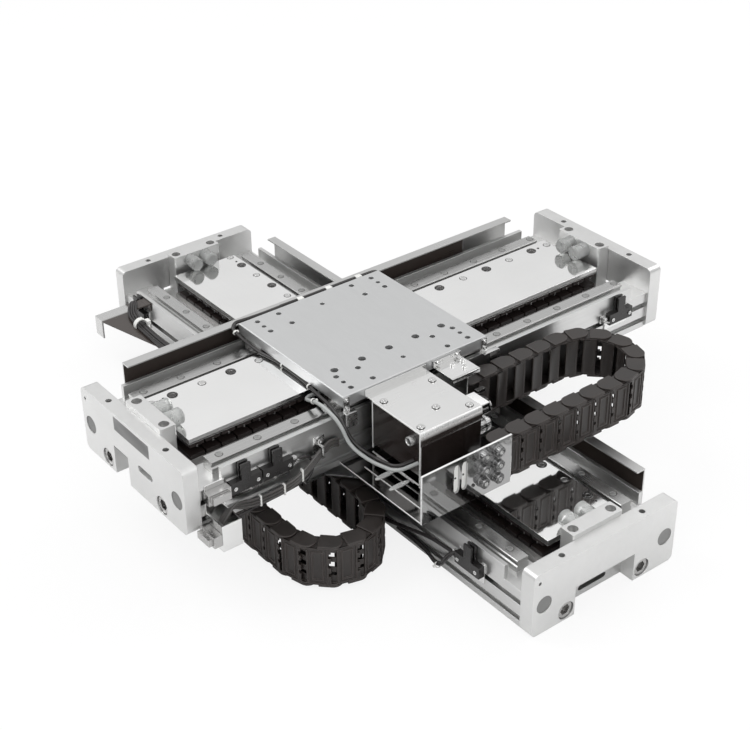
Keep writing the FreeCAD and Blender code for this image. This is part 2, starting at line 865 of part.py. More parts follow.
def make_tray():
    """The tray beside the lower base: an arm with a lip at its left end, a narrow strip that leaves the
    left sensor clear, and the wide part that roofs the chain's fixed run."""
    body = new_body("lower_tray")
    seat, outer = -mm.base_width / 2 - mm.seat_gap, -mm.tray_reach
    top, under = mm.tray_level, mm.tray_level - mm.sheet
    left, right, corner, middle = mm.tray_left, mm.tray_right, mm.tray_corner, mm.tray_middle
    arm = left + mm.tray_arm
    outline = [
        (left, seat), (left, outer), (arm, outer), (mm.tray_strip_bend, -mm.tray_strip_outer),
        (middle, -mm.tray_strip_outer), (middle, outer), (corner, outer),
        (corner, seat - mm.tray_step - mm.tray_slope), (right, seat - mm.tray_step), (right, seat),
        (middle, seat), (middle, -mm.tray_strip_inner), (arm, -mm.tray_strip_inner), (arm, seat),
    ]
    prism(body, "XY_Plane", under, top, [outline])
    prism(body, "XY_Plane", top - mm.tray_lip, under, [rectangle(left, arm, outer, outer + mm.sheet)])
    prism(body, "XY_Plane", top - mm.tray_leg, under, [rectangle(middle, right, seat - mm.sheet, seat)])
    prism(body, "XY_Plane", top - mm.tray_arm_leg, under, [rectangle(left, arm, seat - mm.sheet, seat)])
    put(body, LOWER)


# Cable chains


def chain_radius():
    """The radius on which the pivots of the bend lie, so that whole links make the half turn."""
    return mm.chain_pitch * (0.5 / math.sin(math.radians(90 / BEND_LINKS)))


def chain_offset(axis):
    """How far from the axis's middle the bend turns; the upper chain lies against the gland plate."""
    if axis.name == "lower":
        return mm.lower_chain_offset
    reach = mm.shelf_reach - mm.gland_plate_thickness - mm.seat_gap
    return reach - mm.chain_thickness / 2 - chain_radius()


def chain_turn(axis):
    return mm.lower_chain_turn if axis.name == "lower" else mm.upper_chain_turn


def ear(pivot, inner, side):
    """An ear round a pivot: blunt at its rounded end, square where it joins the link's middle."""
    half = mm.chain_thickness / 2
    tip, blunt = pivot + side * half, pivot + side * half / 2
    return [(inner, -half), (blunt, -half), (tip, -half / 2), (tip, half / 2), (blunt, half), (inner, half)]


def draw_link(body, middle, across, lead):
    """One link with its middle at a place: overlapping ears above and below, and two cross bars.

    The lead is 1 where the outer ears reach ahead along x, and -1 where they reach back."""
    half = mm.chain_pitch / 2
    low, high = mm.chain_low, mm.chain_low + mm.chain_width
    outer = [(middle + x, across + y) for x, y in ear(lead * half, -lead * mm.chain_gap, lead)]
    inner = [(middle + x, across + y) for x, y in ear(-lead * half, lead * mm.chain_gap, -lead)]
    thick = mm.chain_ear
    edge = mm.chain_thickness / 2
    bar = mm.chain_bar_width / 2
    bars = [rectangle(middle - bar, middle + bar, across + edge - mm.chain_bar, across + edge),
            rectangle(middle - bar, middle + bar, across - edge, across - edge + mm.chain_bar)]
    return [
        prism(body, "XY_Plane", low + thick, high - thick, bars),
        prism(body, "XY_Plane", high - thick, high, [outer]),
        prism(body, "XY_Plane", low, low + thick, [outer]),
        prism(body, "XY_Plane", high - 2 * thick, high - thick, [inner]),
        prism(body, "XY_Plane", low + thick, low + 2 * thick, [inner]),
    ]


def repeat(body, kind, originals):
    document.recompute()
    feature = body.newObject("PartDesign::" + kind, "row")
    feature.Originals = list(originals)
    body.Tip = feature
    return feature


def make_chain_bend(axis):
    """The links of the half turn, round an axis of their own."""
    body = new_body(axis.name + "_chain_bend")
    step = 180 / BEND_LINKS
    links = draw_link(body, 0.0, -chain_radius() * math.cos(math.radians(step / 2)), 1)
    turn = repeat(body, "PolarPattern", links)
    turn.Axis = (origin_feature(body, "Z_Axis"), [""])
    turn.Angle = 180 - step
    turn.Occurrences = BEND_LINKS
    put(body, axis, along=chain_turn(axis), across=-chain_offset(axis), turn=step / 2)


def make_chain_run(axis, run):
    """The links that lie straight beside the bend, from the fixed or the moving end."""
    body = new_body("%s_chain_%s" % (axis.name, run))
    count = STRAIGHT_LINKS[axis.name][run]
    side = 1 if run == "fixed" else -1
    if axis.name == "upper":
        side = -side
    links = draw_link(body, -mm.chain_pitch / 2, side * chain_radius(), -side)
    row = repeat(body, "LinearPattern", links)
    row.Direction = (origin_feature(body, "X_Axis"), [""])
    row.Reversed = True
    bind(row, "Length", mm.chain_pitch * (count - 1))
    row.Occurrences = count
    put(body, axis, along=chain_turn(axis), across=-chain_offset(axis))


def chain_end(axis, run):
    """Where the last link of a straight run ends along the axis."""
    return chain_turn(axis) - mm.chain_pitch * STRAIGHT_LINKS[axis.name][run] - mm.chain_thickness / 2


def make_lower_anchor():
    """The bracket that holds the lower chain's fixed end on the base's side."""
    body = new_body("lower_chain_anchor")
    end = chain_end(LOWER, "fixed") - mm.seat_gap
    seat = -mm.base_width / 2 - mm.seat_gap - mm.sheet
    near = -chain_offset(LOWER) + chain_radius() - mm.chain_thickness / 2
    low, high = mm.chain_low, mm.chain_low + mm.chain_width
    tongue = end - mm.sheet
    outline = [
        (tongue - mm.anchor_tongue, seat), (end, seat), (end, near), (tongue, near),
        (tongue, seat - mm.sheet), (tongue - mm.anchor_tongue, seat - mm.sheet),
    ]
    prism(body, "XY_Plane", low, high, [outline])
    put(body, LOWER)


def make_lower_hanger():
    """The bracket under the upper base that pulls the lower chain's moving end."""
    body = new_body("lower_chain_hanger")
    end = chain_end(LOWER, "moving") - mm.seat_gap
    middle = -chain_offset(LOWER) - chain_radius()
    half = mm.chain_thickness / 2
    top, low = STAGE_LEVEL - mm.seat_gap, mm.chain_low
    outline = [
        (end - mm.sheet, low), (end, low), (end, top), (end - mm.anchor_tongue, top),
        (end - mm.anchor_tongue, top - mm.sheet), (end - mm.sheet, top - mm.sheet),
    ]
    prism(body, "XZ_Plane", middle - half, middle + half, [outline])
    put(body, LOWER)


# Shelf, gland plate and connector bracket on the upper base


def make_shelf():
    body = new_body("upper_shelf")
    seat = -mm.base_width / 2 - mm.seat_gap
    outer = -mm.shelf_reach + mm.gland_plate_thickness + mm.seat_gap
    low, high = mm.shelf_low, mm.shelf_low + mm.sheet
    outline = rectangle(mm.shelf_front, mm.shelf_rear, outer, seat)
    prism(body, "XY_Plane", low, high, [outline])
    put(body, UPPER)


def make_gland_plate():
    """The polished upright plate with its oval openings and the holes of the cable glands."""
    body = new_body("upper_gland_plate")
    outer = -mm.shelf_reach
    inner = outer + mm.gland_plate_thickness
    low, high = mm.shelf_low, mm.gland_plate_top
    prism(body, "XZ_Plane", outer, inner, [rectangle(mm.shelf_front, mm.shelf_rear, low, high)])
    ovals = []
    for step in range(2):
        place = mm.gland_slot_first + step * mm.gland_slot_pitch
        half = mm.gland_slot_length / 2
        ovals.append(upright_oblong(place, mm.gland_slot_level - half, mm.gland_slot_level + half,
                                    mm.gland_slot_width))
    wires = [Ring(along, level, mm.gland_wire) for along, level in gland_places()]
    prism(body, "XZ_Plane", outer, inner, ovals + wires, cut=True)
    put(body, UPPER)


def gland_places():
    places = []
    for row in range(3):
        for column in range(2):
            along = mm.gland_first + column * mm.gland_pitch
            places.append((along, mm.gland_low_level + row * mm.gland_row - column * mm.gland_stagger))
    return places


def make_glands():
    """Six round cable glands on the outside of the gland plate."""
    body = new_body("upper_glands")
    outer = -mm.shelf_reach
    places = gland_places()
    prism(body, "XZ_Plane", outer - mm.gland_length, outer,
          [Ring(along, level, mm.gland_diameter) for along, level in places])
    prism(body, "XZ_Plane", outer - mm.gland_length, outer,
          [Ring(along, level, mm.gland_wire) for along, level in places], cut=True)
    put(body, UPPER)


def stand_front():
    """Where the connector bracket begins, behind the front plate's inner face."""
    return mm.plate_thickness - mm.upper_length / 2 + mm.stand_setback


def make_stand():
    """The connector bracket: an open-topped box beside the base whose back stands up along it."""
    body = new_body("upper_stand")
    seat = -mm.base_width / 2 - mm.seat_gap
    front, rear, outer = stand_front(), stand_front() + mm.stand_length, seat - mm.stand_width
    low, wall = mm.stand_low, mm.sheet
    prism(body, "XY_Plane", low, mm.stand_top, [rectangle(front, rear, outer, seat)])
    inside = rectangle(front + wall, rear - wall, outer + wall, seat - wall)
    prism(body, "XY_Plane", low + wall, mm.stand_top, [inside], cut=True)
    prism(body, "XY_Plane", mm.stand_top, mm.stand_back_top, [rectangle(front, rear, seat - wall, seat)])
    put(body, UPPER)


def make_stand_plugs():
    """The two flat connectors, each a flanged shell with a narrower nose: the low one faces forwards
    on the box's front, the high one faces sideways on its back."""
    body = new_body("upper_flat_connectors")
    seat = -mm.base_width / 2 - mm.seat_gap
    depth, nose_depth = mm.plug_shell_depth, mm.plug_shell_nose_depth
    sizes = ((mm.plug_shell_width, mm.plug_shell_height), (mm.plug_shell_nose, mm.plug_shell_nose_height))
    middle = -mm.plate_width / 2 - mm.seat_gap - mm.plug_shell_width / 2
    level = mm.plug_shell_low
    shell, nose = [rectangle(middle - wide / 2, middle + wide / 2, level - tall / 2, level + tall / 2)
                   for wide, tall in sizes]
    back = stand_front() - mm.seat_gap
    prism(body, "YZ_Plane", back - depth, back, [shell])
    prism(body, "YZ_Plane", back - depth - nose_depth, back - depth, [nose])
    middle, level = stand_front() + mm.stand_length / 2, mm.plug_shell_high
    shell, nose = [rectangle(middle - wide / 2, middle + wide / 2, level - tall / 2, level + tall / 2)
                   for wide, tall in sizes]
    back = seat - mm.sheet - mm.seat_gap
    prism(body, "XZ_Plane", back - depth, back, [shell])
    prism(body, "XZ_Plane", back - depth - nose_depth, back - depth, [nose])
    put(body, UPPER)


# Connector box on the upper table


def make_box():
    """The box's open-topped body."""
    body = new_body("upper_box")
    front, rear, inner, outer = mm.box_front, mm.box_rear, -mm.box_inner, -mm.box_outer
    wall = mm.box_wall
    prism(body, "XY_Plane", mm.box_low, mm.box_top, [rectangle(front, rear, outer, inner)])
    inside = rectangle(front + wall, rear - wall, outer + wall, inner - wall)
    prism(body, "XY_Plane", mm.box_low + wall, mm.box_top, [inside], cut=True)
    put(body, UPPER)


def make_cover():
    """The box's cover sheet, which reaches to the table and turns up against its side."""
    body = new_body("upper_box_cover")
    seat = -mm.table_width / 2 - mm.seat_gap
    low, high = mm.box_top, mm.box_top + mm.cover_thickness
    prism(body, "XY_Plane", low, high, [rectangle(mm.box_front, mm.box_rear, -mm.box_outer, seat)])
    lip = rectangle(mm.box_front, mm.box_rear, seat - mm.cover_thickness, seat)
    prism(body, "XY_Plane", high, high + mm.cover_lip, [lip])
    put(body, UPPER)


def make_round_connectors():
    """Two round metal connectors on the box's rear face."""
    body = new_body("upper_round_connectors")
    back = mm.box_rear + mm.seat_gap
    places = [(-mm.round_plug_place, mm.round_plug_level - step * mm.round_plug_drop) for step in range(2)]
    shells = [Ring(across, level, mm.round_plug_diameter) for across, level in places]
    noses = [Ring(across, level, mm.round_plug_nose) for across, level in places]
    prism(body, "YZ_Plane", back, back + mm.round_plug_length, shells)
    tip = back + mm.round_plug_length
    prism(body, "YZ_Plane", tip, tip + mm.round_plug_nose_length, noses)
    put(body, UPPER)


def make_tab():
    """The bracket on the upper table's side that pulls the chain's moving end."""
    body = new_body("upper_chain_tab")
    seat = -mm.table_width / 2 - mm.seat_gap
    end = chain_end(UPPER, "moving") - mm.seat_gap
    near = -chain_offset(UPPER) + chain_radius() + mm.chain_thickness / 2
    far = near - mm.chain_thickness
    top = mm.tab_level + mm.sheet
    shelf = rectangle(mm.tab_front, mm.tab_rear, -mm.tab_reach, seat)
    prism(body, "XY_Plane", mm.tab_level, top, [shelf])
    prism(body, "XY_Plane", mm.chain_low, mm.tab_level, [rectangle(end - mm.sheet, end, far, near)])
    lip = rectangle(mm.tab_front, mm.tab_rear, seat - mm.sheet, seat)
    prism(body, "XY_Plane", top, top + mm.cover_lip, [lip])
    put(body, UPPER)


# Limit sensors


def sensor_places(axis):
    """Where the middles of an axis's sensors are: one at each end, and a second at the upper front."""
    if axis.name == "lower":
        return [-mm.lower_sensor_left, mm.lower_sensor_right]
    front = -mm.upper_sensor_place
    return [front, front + mm.sensor_spacing, mm.upper_sensor_place]


def make_sensors(axis):
    """The fork sensors: each a body with two thin prongs, one behind the other, that stand up."""
    body = new_body(axis.name + "_sensors")
    half, reach = mm.sensor_length / 2, mm.sensor_prong_length / 2
    low = mm.sensor_low
    high = low + mm.sensor_body
    near = -mm.base_width / 2 - mm.seat_gap - mm.sensor_plate
    far = near - mm.sensor_depth
    places = sensor_places(axis)
    bodies = [rectangle(middle - half, middle + half, low, high) for middle in places]
    prongs = [rectangle(middle - reach, middle + reach, high, high + mm.sensor_prong) for middle in places]
    prism(body, "XZ_Plane", far, near, bodies)
    for edge in (far, near - mm.sensor_prong_thickness):
        prism(body, "XZ_Plane", edge, edge + mm.sensor_prong_thickness, prongs)
    put(body, axis)


def make_sensor_brackets(axis):
    """The small plates that hold the sensors on the base's upper groove."""
    body = new_body(axis.name + "_sensor_brackets")
    half = mm.sensor_length / 2
    seat = -mm.base_width / 2 - mm.seat_gap
    low, high = mm.sensor_low - mm.sensor_bracket_leg, mm.sensor_low + mm.sensor_body
    plates = [rectangle(middle - half, middle + half, low, high) for middle in sensor_places(axis)]
    prism(body, "XZ_Plane", seat - mm.sensor_plate, seat, plates)
    put(body, axis)


# Cords


def sweep_cord(label, axis, points, diameter):
    """A round cord in an axis's frame, along straight runs joined by tangent arcs."""
    corners = [Vector(*point) for point in points]
    edges = []
    start = corners[0]
    radii = []
    for before, corner, after in zip(corners, corners[1:], corners[2:]):
        back, ahead = (before - corner), (after - corner)
        turn = math.pi - back.getAngle(ahead)
        trim = 0.45 * min(back.Length, ahead.Length)
        radii.append(trim / math.tan(turn / 2))
        back.normalize()
        ahead.normalize()
        enter, leave = corner + back * trim, corner + ahead * trim
        toward = (back + ahead).normalize()
        middle = corner + toward * (math.hypot(radii[-1], trim) - radii[-1])
        edges += [Part.LineSegment(start, enter).toShape(), Part.Arc(enter, middle, leave).toShape()]
        start = leave
    edges.append(Part.LineSegment(start, corners[-1]).toShape())
    path = Part.Wire(edges)
    print(label, "length %.1f" % path.Length, "radii", ["%.0f" % radius for radius in radii])
    section = Part.Wire(Part.Circle(corners[0], corners[1] - corners[0], diameter.number / 2).toShape())
    feature = document.addObject("Part::Feature", label)
    feature.Shape = path.makePipeShell([section], True, False)
    expected = path.Length * math.pi * (diameter.number / 2) ** 2
    if abs(feature.Shape.Volume / expected - 1) > 0.02:
        raise RuntimeError(label + " does not fill its route")
    parts.append(feature)
    put(feature, axis)


def make_table_cords():
    """The cable from the coil unit's end, and the lead that comes along the table's far side and under
    its front edge. Both go round the table's front corner and into the box."""
    coil = number_of(mm.upper_rest - mm.coil_length / 2 - mm.seat_gap)
    table = number_of(mm.upper_rest - mm.table_length / 2)
    box = number_of(mm.box_front - 2 * mm.seat_gap)
    sweep_cord("upper_table_cable", UPPER, [
        (coil, -57.7, 76), (table - 20, -57.7, 77), (table - 21.6, -98, 92), (table - 22, -141, 85),
        (table - 16, -155, 52), (table, -179, 34), (box - 31, -226, 43), (box, -231, 46),
    ], mm.cord)
    sweep_cord("upper_table_lead", UPPER, [
        (table + 75, 123.5, 101), (table + 32, 123, 101), (table - 13, 128, 101), (table - 9, 92, 90),
        (table - 4.5, 66, 83.6), (table + 2, 34, 83.3), (table + 2.5, 2, 83.2), (table + 2, -32, 83.3),
        (table - 4.5, -64, 83.6), (table - 9, -100, 86), (table - 17, -138, 85), (table - 9, -152, 52),
        (table + 8, -176, 34), (box - 25, -218, 43), (box, -222, 45),
    ], mm.cord)


def make_sensor_leads():
    """The lead of the front sensors, round and back to the connector bracket, and the lead of the
    lower right sensor, along the base from the bracket that holds the chain."""
    across = number_of(-mm.base_width / 2 - mm.sensor_depth / 2 - mm.cord / 2)
    level = number_of(mm.sensor_low + mm.sensor_body / 2)
    start = number_of(-mm.upper_sensor_place + mm.sensor_spacing + mm.sensor_length / 2 + mm.seat_gap)
    end = number_of(stand_front() + mm.stand_length + mm.seat_gap)
    sweep_cord("upper_sensor_lead", UPPER, [
        (start, across, level), (start + 30, across, level - 2), (start + 33, across, 10),
        (start - 4, across, 5), (start - 48, across - 1, 3), (end, across - 2, 2),
    ], mm.lead)
    start = number_of(chain_end(LOWER, "fixed"))
    end = number_of(mm.lower_sensor_right - mm.sensor_length / 2 - mm.seat_gap)
    sweep_cord("lower_sensor_lead", LOWER, [
        (start, across, 9), (start + 54, across - 1, 8), (start + 108, across, 9),
        (start + 162, across - 1, 8), (start + 214, across, 14), (start + 264, across, 29),
        (end - 50, across, level - 3), (end, across, level),
    ], mm.cord)


# The whole stage

for axis in AXES:
    make_base(axis)
    front, rear = ("left", "right") if axis.name == "lower" else ("front", "rear")
    for side, place in ((-1, front), (1, rear)):
        make_plate(axis, side, "%s_plate_%s" % (axis.name, place))
        make_stopper(axis, side, "%s_stopper_%s" % (axis.name, place))
    make_plugs(axis)
    make_screws(axis)
    for side, place in ((-1, "near"), (1, "far")):
        make_rail(axis, side, "%s_rail_%s" % (axis.name, place))
    make_way_bottom(axis)
    make_way_top(axis)
    make_magnets(axis)
    make_bumpers(axis)
    make_guard(axis)
    make_sensors(axis)
    make_sensor_brackets(axis)
    make_table(axis)
    make_blocks(axis)
    make_coil(axis)
    make_chain_bend(axis)
    make_chain_run(axis, "fixed")
    make_chain_run(axis, "moving")

make_tray()
make_lower_anchor()
make_lower_hanger()
make_shelf()
make_gland_plate()
make_glands()
make_stand()
make_stand_plugs()
make_box()
make_cover()
make_round_connectors()
make_tab()
make_table_cords()
make_sensor_leads()

document.recompute()

# Every feature and every sub-part is checked before anything is written.
for thing in document.Objects:
    if "Invalid" in thing.State or "Error" in thing.State:
        raise RuntimeError("%s failed: %s" % (thing.Label, thing.State))
for cut in cuts:
    removed = cut.BaseFeature.Shape.Volume - cut.Shape.Volume
    if removed < 1:
        raise RuntimeError("a cut of %s removes nothing" % cut.getParent().Label)
for part in parts:
    if part.Shape.isNull() or not part.Shape.isValid():
        raise RuntimeError(part.Label + " has no sound solid")

os.makedirs("parts", exist_ok=True)
for part in parts:
    part.Shape.exportStep("parts/%s.step" % part.Label)
print(len(parts), "sub-parts written")
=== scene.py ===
# %% [markdown]
# # A two-axis linear-motor stage
#
# The stage is two linear-motor axes of one section, one bolted crosswise on the table of the other.
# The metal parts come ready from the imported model, so the work here is light, camera and finishes,
# and then the small pieces that make a stage look real: cable-chain links, screws, caps, flags and leads.

import math

import bpy
from mathutils import Matrix, Vector


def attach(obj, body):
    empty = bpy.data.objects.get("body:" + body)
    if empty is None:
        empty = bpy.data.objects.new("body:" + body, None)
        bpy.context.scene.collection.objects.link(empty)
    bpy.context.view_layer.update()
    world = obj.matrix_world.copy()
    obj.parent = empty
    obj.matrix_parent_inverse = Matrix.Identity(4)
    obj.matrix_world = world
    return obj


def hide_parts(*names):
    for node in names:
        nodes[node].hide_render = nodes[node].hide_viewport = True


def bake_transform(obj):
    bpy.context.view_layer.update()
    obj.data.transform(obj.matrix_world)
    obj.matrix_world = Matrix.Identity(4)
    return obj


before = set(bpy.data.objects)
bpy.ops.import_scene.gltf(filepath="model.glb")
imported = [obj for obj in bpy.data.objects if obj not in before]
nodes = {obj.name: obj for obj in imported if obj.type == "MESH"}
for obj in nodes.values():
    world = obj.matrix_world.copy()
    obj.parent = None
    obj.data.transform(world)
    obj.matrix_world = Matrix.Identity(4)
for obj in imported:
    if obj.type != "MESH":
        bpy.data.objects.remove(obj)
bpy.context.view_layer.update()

# %% [markdown]
# ## The camera
#
# The photograph was taken with a long lens from the front right, a third of the way up. A few straight
# edges of the plates were enough to work out where the camera stood. It is placed here by its two angles,
# its distance and a small shift, so each number can be changed by itself.

# %% Place the camera
AZIMUTH, ELEVATION, ROLL = 52.193, 32.134, -0.511
DISTANCE, ASIDE, ABOVE = 2.3032, 0.01594, 0.08901
FOCAL_PIXELS, FRAME_PIXELS, SENSOR = 1553.44, 750, 36.0

turn = (
    Matrix.Rotation(math.radians(AZIMUTH), 3, "Z")
    @ Matrix.Rotation(math.radians(90 - ELEVATION), 3, "X")
    @ Matrix.Rotation(math.radians(ROLL), 3, "Z")
)
bpy.ops.object.camera_add(location=turn @ Vector((ASIDE, ABOVE, DISTANCE)), rotation=turn.to_euler())
camera = bpy.context.object
camera.data.sensor_width = SENSOR
camera.data.lens = FOCAL_PIXELS / FRAME_PIXELS * SENSOR
camera.data.clip_end = 20
bpy.context.scene.camera = camera
print("lens %.1f mm" % camera.data.lens)

# %% [markdown]
# ## Trees of nodes
#
# A world, a floor and a finish are all trees of nodes. Each could be wired by hand in the shader editor.
# One helper adds a node, sets it and feeds its inputs, so that a tree reads here from left to right.

# %% A helper that adds a node


def node(tree, kind, values=None, **settings):
    """Add a node, set its properties, and give each input a number or the socket that feeds it."""
    made = tree.nodes.new(kind)
    for name, value in settings.items():
        setattr(made, name, value)
    for name, value in (values or {}).items():
        if isinstance(value, bpy.types.NodeSocket):
            tree.links.new(value, made.inputs[name])
        else:
            made.inputs[name].default_value = value
    return made


# %% [markdown]
# ## Floor and light
#
# A catalogue picture of bright metal is lit from all round, so the metal has something pale to mirror.
# Here the world is a pale dome with a dark band at the horizon, and three large lamps give it a side.
# The camera itself sees plain white, which the Light Path node makes possible without changing the light.

# %% Light the room from all round
DOME_GREYS = {0.0: 0.30, 0.42: 1.0, 0.5: 0.22, 0.60: 0.62, 0.78: 0.95, 1.0: 1.0}
DOME_STRENGTH = 0.95

world = bpy.data.worlds.new("studio")
bpy.context.scene.world = world
world.use_nodes = True
tree = world.node_tree
tree.nodes.clear()
where = node(tree, "ShaderNodeTexCoord")
parts = node(tree, "ShaderNodeSeparateXYZ", {0: where.outputs["Generated"]})
rise = node(tree, "ShaderNodeMath", {0: parts.outputs["Z"], 1: 0.5, 2: 0.5}, operation="MULTIPLY_ADD")
dome = node(tree, "ShaderNodeValToRGB", {"Fac": rise.outputs[0]})
stops = dome.color_ramp.elements
for height in sorted(DOME_GREYS)[1:-1]:
    stops.new(height)
for stop, height in zip(stops, sorted(DOME_GREYS)):
    stop.color = (*[DOME_GREYS[height]] * 3, 1)
room = node(tree, "ShaderNodeBackground", {"Color": dome.outputs["Color"], "Strength": DOME_STRENGTH})
white = node(tree, "ShaderNodeBackground", {"Color": (1, 1, 1, 1)})
rays = node(tree, "ShaderNodeLightPath")
mix = node(tree, "ShaderNodeMixShader", {
    "Fac": rays.outputs["Is Camera Ray"], 1: room.outputs[0], 2: white.outputs[0]})
node(tree, "ShaderNodeOutputWorld", {"Surface": mix.outputs[0]})
print("dome:", [(round(stop.position, 2), round(stop.color[0], 2)) for stop in stops])

# %% Add three soft lamps
LAMPS = {
    "key": ((-1.6, -1.4, 2.6), 1.8, 34),
    "side": ((2.6, -0.5, 1.5), 1.8, 21),
    "back": ((0.2, 2.4, 2.0), 1.6, 18),
}
AIM = Vector((0, 0, 0.1))
for name, (place, size, power) in LAMPS.items():
    bpy.ops.object.light_add(type="AREA", location=place)
    lamp = bpy.context.object
    lamp.name = name
    lamp.data.size = size
    lamp.data.energy = power
    lamp.rotation_euler = (AIM - Vector(place)).to_track_quat("-Z", "Y").to_euler()
bpy.context.scene.view_settings.view_transform = "Standard"
print("lamps:", sorted(LAMPS))

# %% Lay the floor
FLOOR_SIZE, FLOOR_LEVEL = 12, -0.0005
FLOOR_GREY, FLOOR_WHITE_SHARE = 0.86, 0.84

bpy.ops.object.select_all(action="DESELECT")
bpy.ops.mesh.primitive_plane_add(size=FLOOR_SIZE, location=(0, 0, FLOOR_LEVEL))
floor = bpy.context.object
floor.name = "floor"
paint = bpy.data.materials.new("pale floor")
paint.use_nodes = True
tree = paint.node_tree
tree.nodes.clear()
matt = node(tree, "ShaderNodeBsdfDiffuse", {"Color": (*[FLOOR_GREY] * 3, 1)})
glow = node(tree, "ShaderNodeEmission")
rays = node(tree, "ShaderNodeLightPath")
seen = node(tree, "ShaderNodeMath", {0: rays.outputs["Is Camera Ray"], 1: FLOOR_WHITE_SHARE},
            operation="MULTIPLY")
mix = node(tree, "ShaderNodeMixShader", {"Fac": seen.outputs[0], 1: matt.outputs[0], 2: glow.outputs[0]})
node(tree, "ShaderNodeOutputMaterial", {"Surface": mix.outputs[0]})
floor.data.materials.append(paint)
print("floor laid at", round(floor.location.z, 4))

# %% [markdown]
# ## Node groups that several finishes share
#
# Ground and drawn metal shows fine lines along the way that it was worked. Handling leaves faint cloudy
# marks. Edges that are broken with a file catch the light. Each of these is one small node group with named
# inputs, built once and placed in each material with its own values.

# %% Helpers for node groups


def new_group(name, inputs, outputs):
    """An empty node group with named sockets, given as (name, kind, default)."""
    group = bpy.data.node_groups.new(name, "ShaderNodeTree")
    for label, kind, default in inputs:
        socket = group.interface.new_socket(label, in_out="INPUT", socket_type="NodeSocket" + kind)
        socket.default_value = default
    for label, kind in outputs:
        group.interface.new_socket(label, in_out="OUTPUT", socket_type="NodeSocket" + kind)
    return group, group.nodes.new("NodeGroupInput"), group.nodes.new("NodeGroupOutput")


def place_group(tree, group, values):
    """A group placed in a material, with its own values."""
    return node(tree, "ShaderNodeGroup", values, node_tree=group)


# %% Lines left by grinding or drawing
grain, start, end = new_group(
    "worked lines", [("Stretch", "Vector", (4, 300, 300)), ("Detail", "Float", 3.0)], [("Tone", "Float")]
)
where = node(grain, "ShaderNodeTexCoord")
pulled = node(grain, "ShaderNodeVectorMath", {0: where.outputs["Object"], 1: start.outputs["Stretch"]},
              operation="MULTIPLY")
lines = node(grain, "ShaderNodeTexNoise", {"Vector": pulled.outputs[0], "Scale": 1.0,
                                          "Detail": start.outputs["Detail"], "Roughness": 0.6})
grain.links.new(lines.outputs["Fac"], end.inputs["Tone"])

# %% Cloudy marks of handling
clouds, start, end = new_group(
    "handling", [("Scale", "Float", 14.0), ("Low", "Float", 0.4), ("High", "Float", 0.7)], [("Mask", "Float")]
)
where = node(clouds, "ShaderNodeTexCoord")
soft = node(clouds, "ShaderNodeTexNoise", {"Vector": where.outputs["Object"], "Scale": start.outputs["Scale"],
                                          "Detail": 4.0, "Roughness": 0.55})
limits = node(clouds, "ShaderNodeMapRange", {"Value": soft.outputs["Fac"], "From Min": start.outputs["Low"],
                                            "From Max": start.outputs["High"]})
clouds.links.new(limits.outputs[0], end.inputs["Mask"])

# %% Broken edges: a rounded normal, and a mask where it differs from the flat one
edges, start, end = new_group(
    "broken edges", [("Width", "Float", 0.0008)], [("Normal", "Vector"), ("Mask", "Float")]
)
rounded = node(edges, "ShaderNodeBevel", {"Radius": start.outputs["Width"]}, samples=4)
flat = node(edges, "ShaderNodeNewGeometry")
match = node(edges, "ShaderNodeVectorMath", {0: rounded.outputs[0], 1: flat.outputs["True Normal"]},
             operation="DOT_PRODUCT")
sharp = node(edges, "ShaderNodeMapRange", {
    "Value": match.outputs["Value"], "From Min": 0.99, "From Max": 0.8})
edges.links.new(rounded.outputs[0], end.inputs["Normal"])
edges.links.new(sharp.outputs[0], end.inputs["Mask"])

# %% The moulded skin of plastics: a fine pebble
pebble, start, end = new_group("moulded skin", [("Scale", "Float", 900.0)], [("Height", "Float")])
where = node(pebble, "ShaderNodeTexCoord")
bumps = node(pebble, "ShaderNodeTexNoise", {
    "Vector": where.outputs["Object"], "Scale": start.outputs["Scale"], "Detail": 2.0})
pebble.links.new(bumps.outputs["Fac"], end.inputs["Height"])
print("groups:", [group.name for group in bpy.data.node_groups])

# %% [markdown]
# ## Metal finishes
#
# All the metals share one recipe: a colour that the worked lines and the handling marks shift a little,
# a painted highlight that lightens the rounded edges, a roughness that they shift more, and a bump from the
# lines over the rounded edges. What changes from extrusion to polished plate is the colour, the roughness and
# the way that the lines run.

# %% The recipe for metal
# the near-white colour that the edges of every metal are mixed towards: a painted highlight
PAINTED_EDGE_HIGHLIGHT = (0.95, 0.95, 0.95, 1)
ROUGHEST_AT, SMOOTHEST_AT = 1.6, 0.3


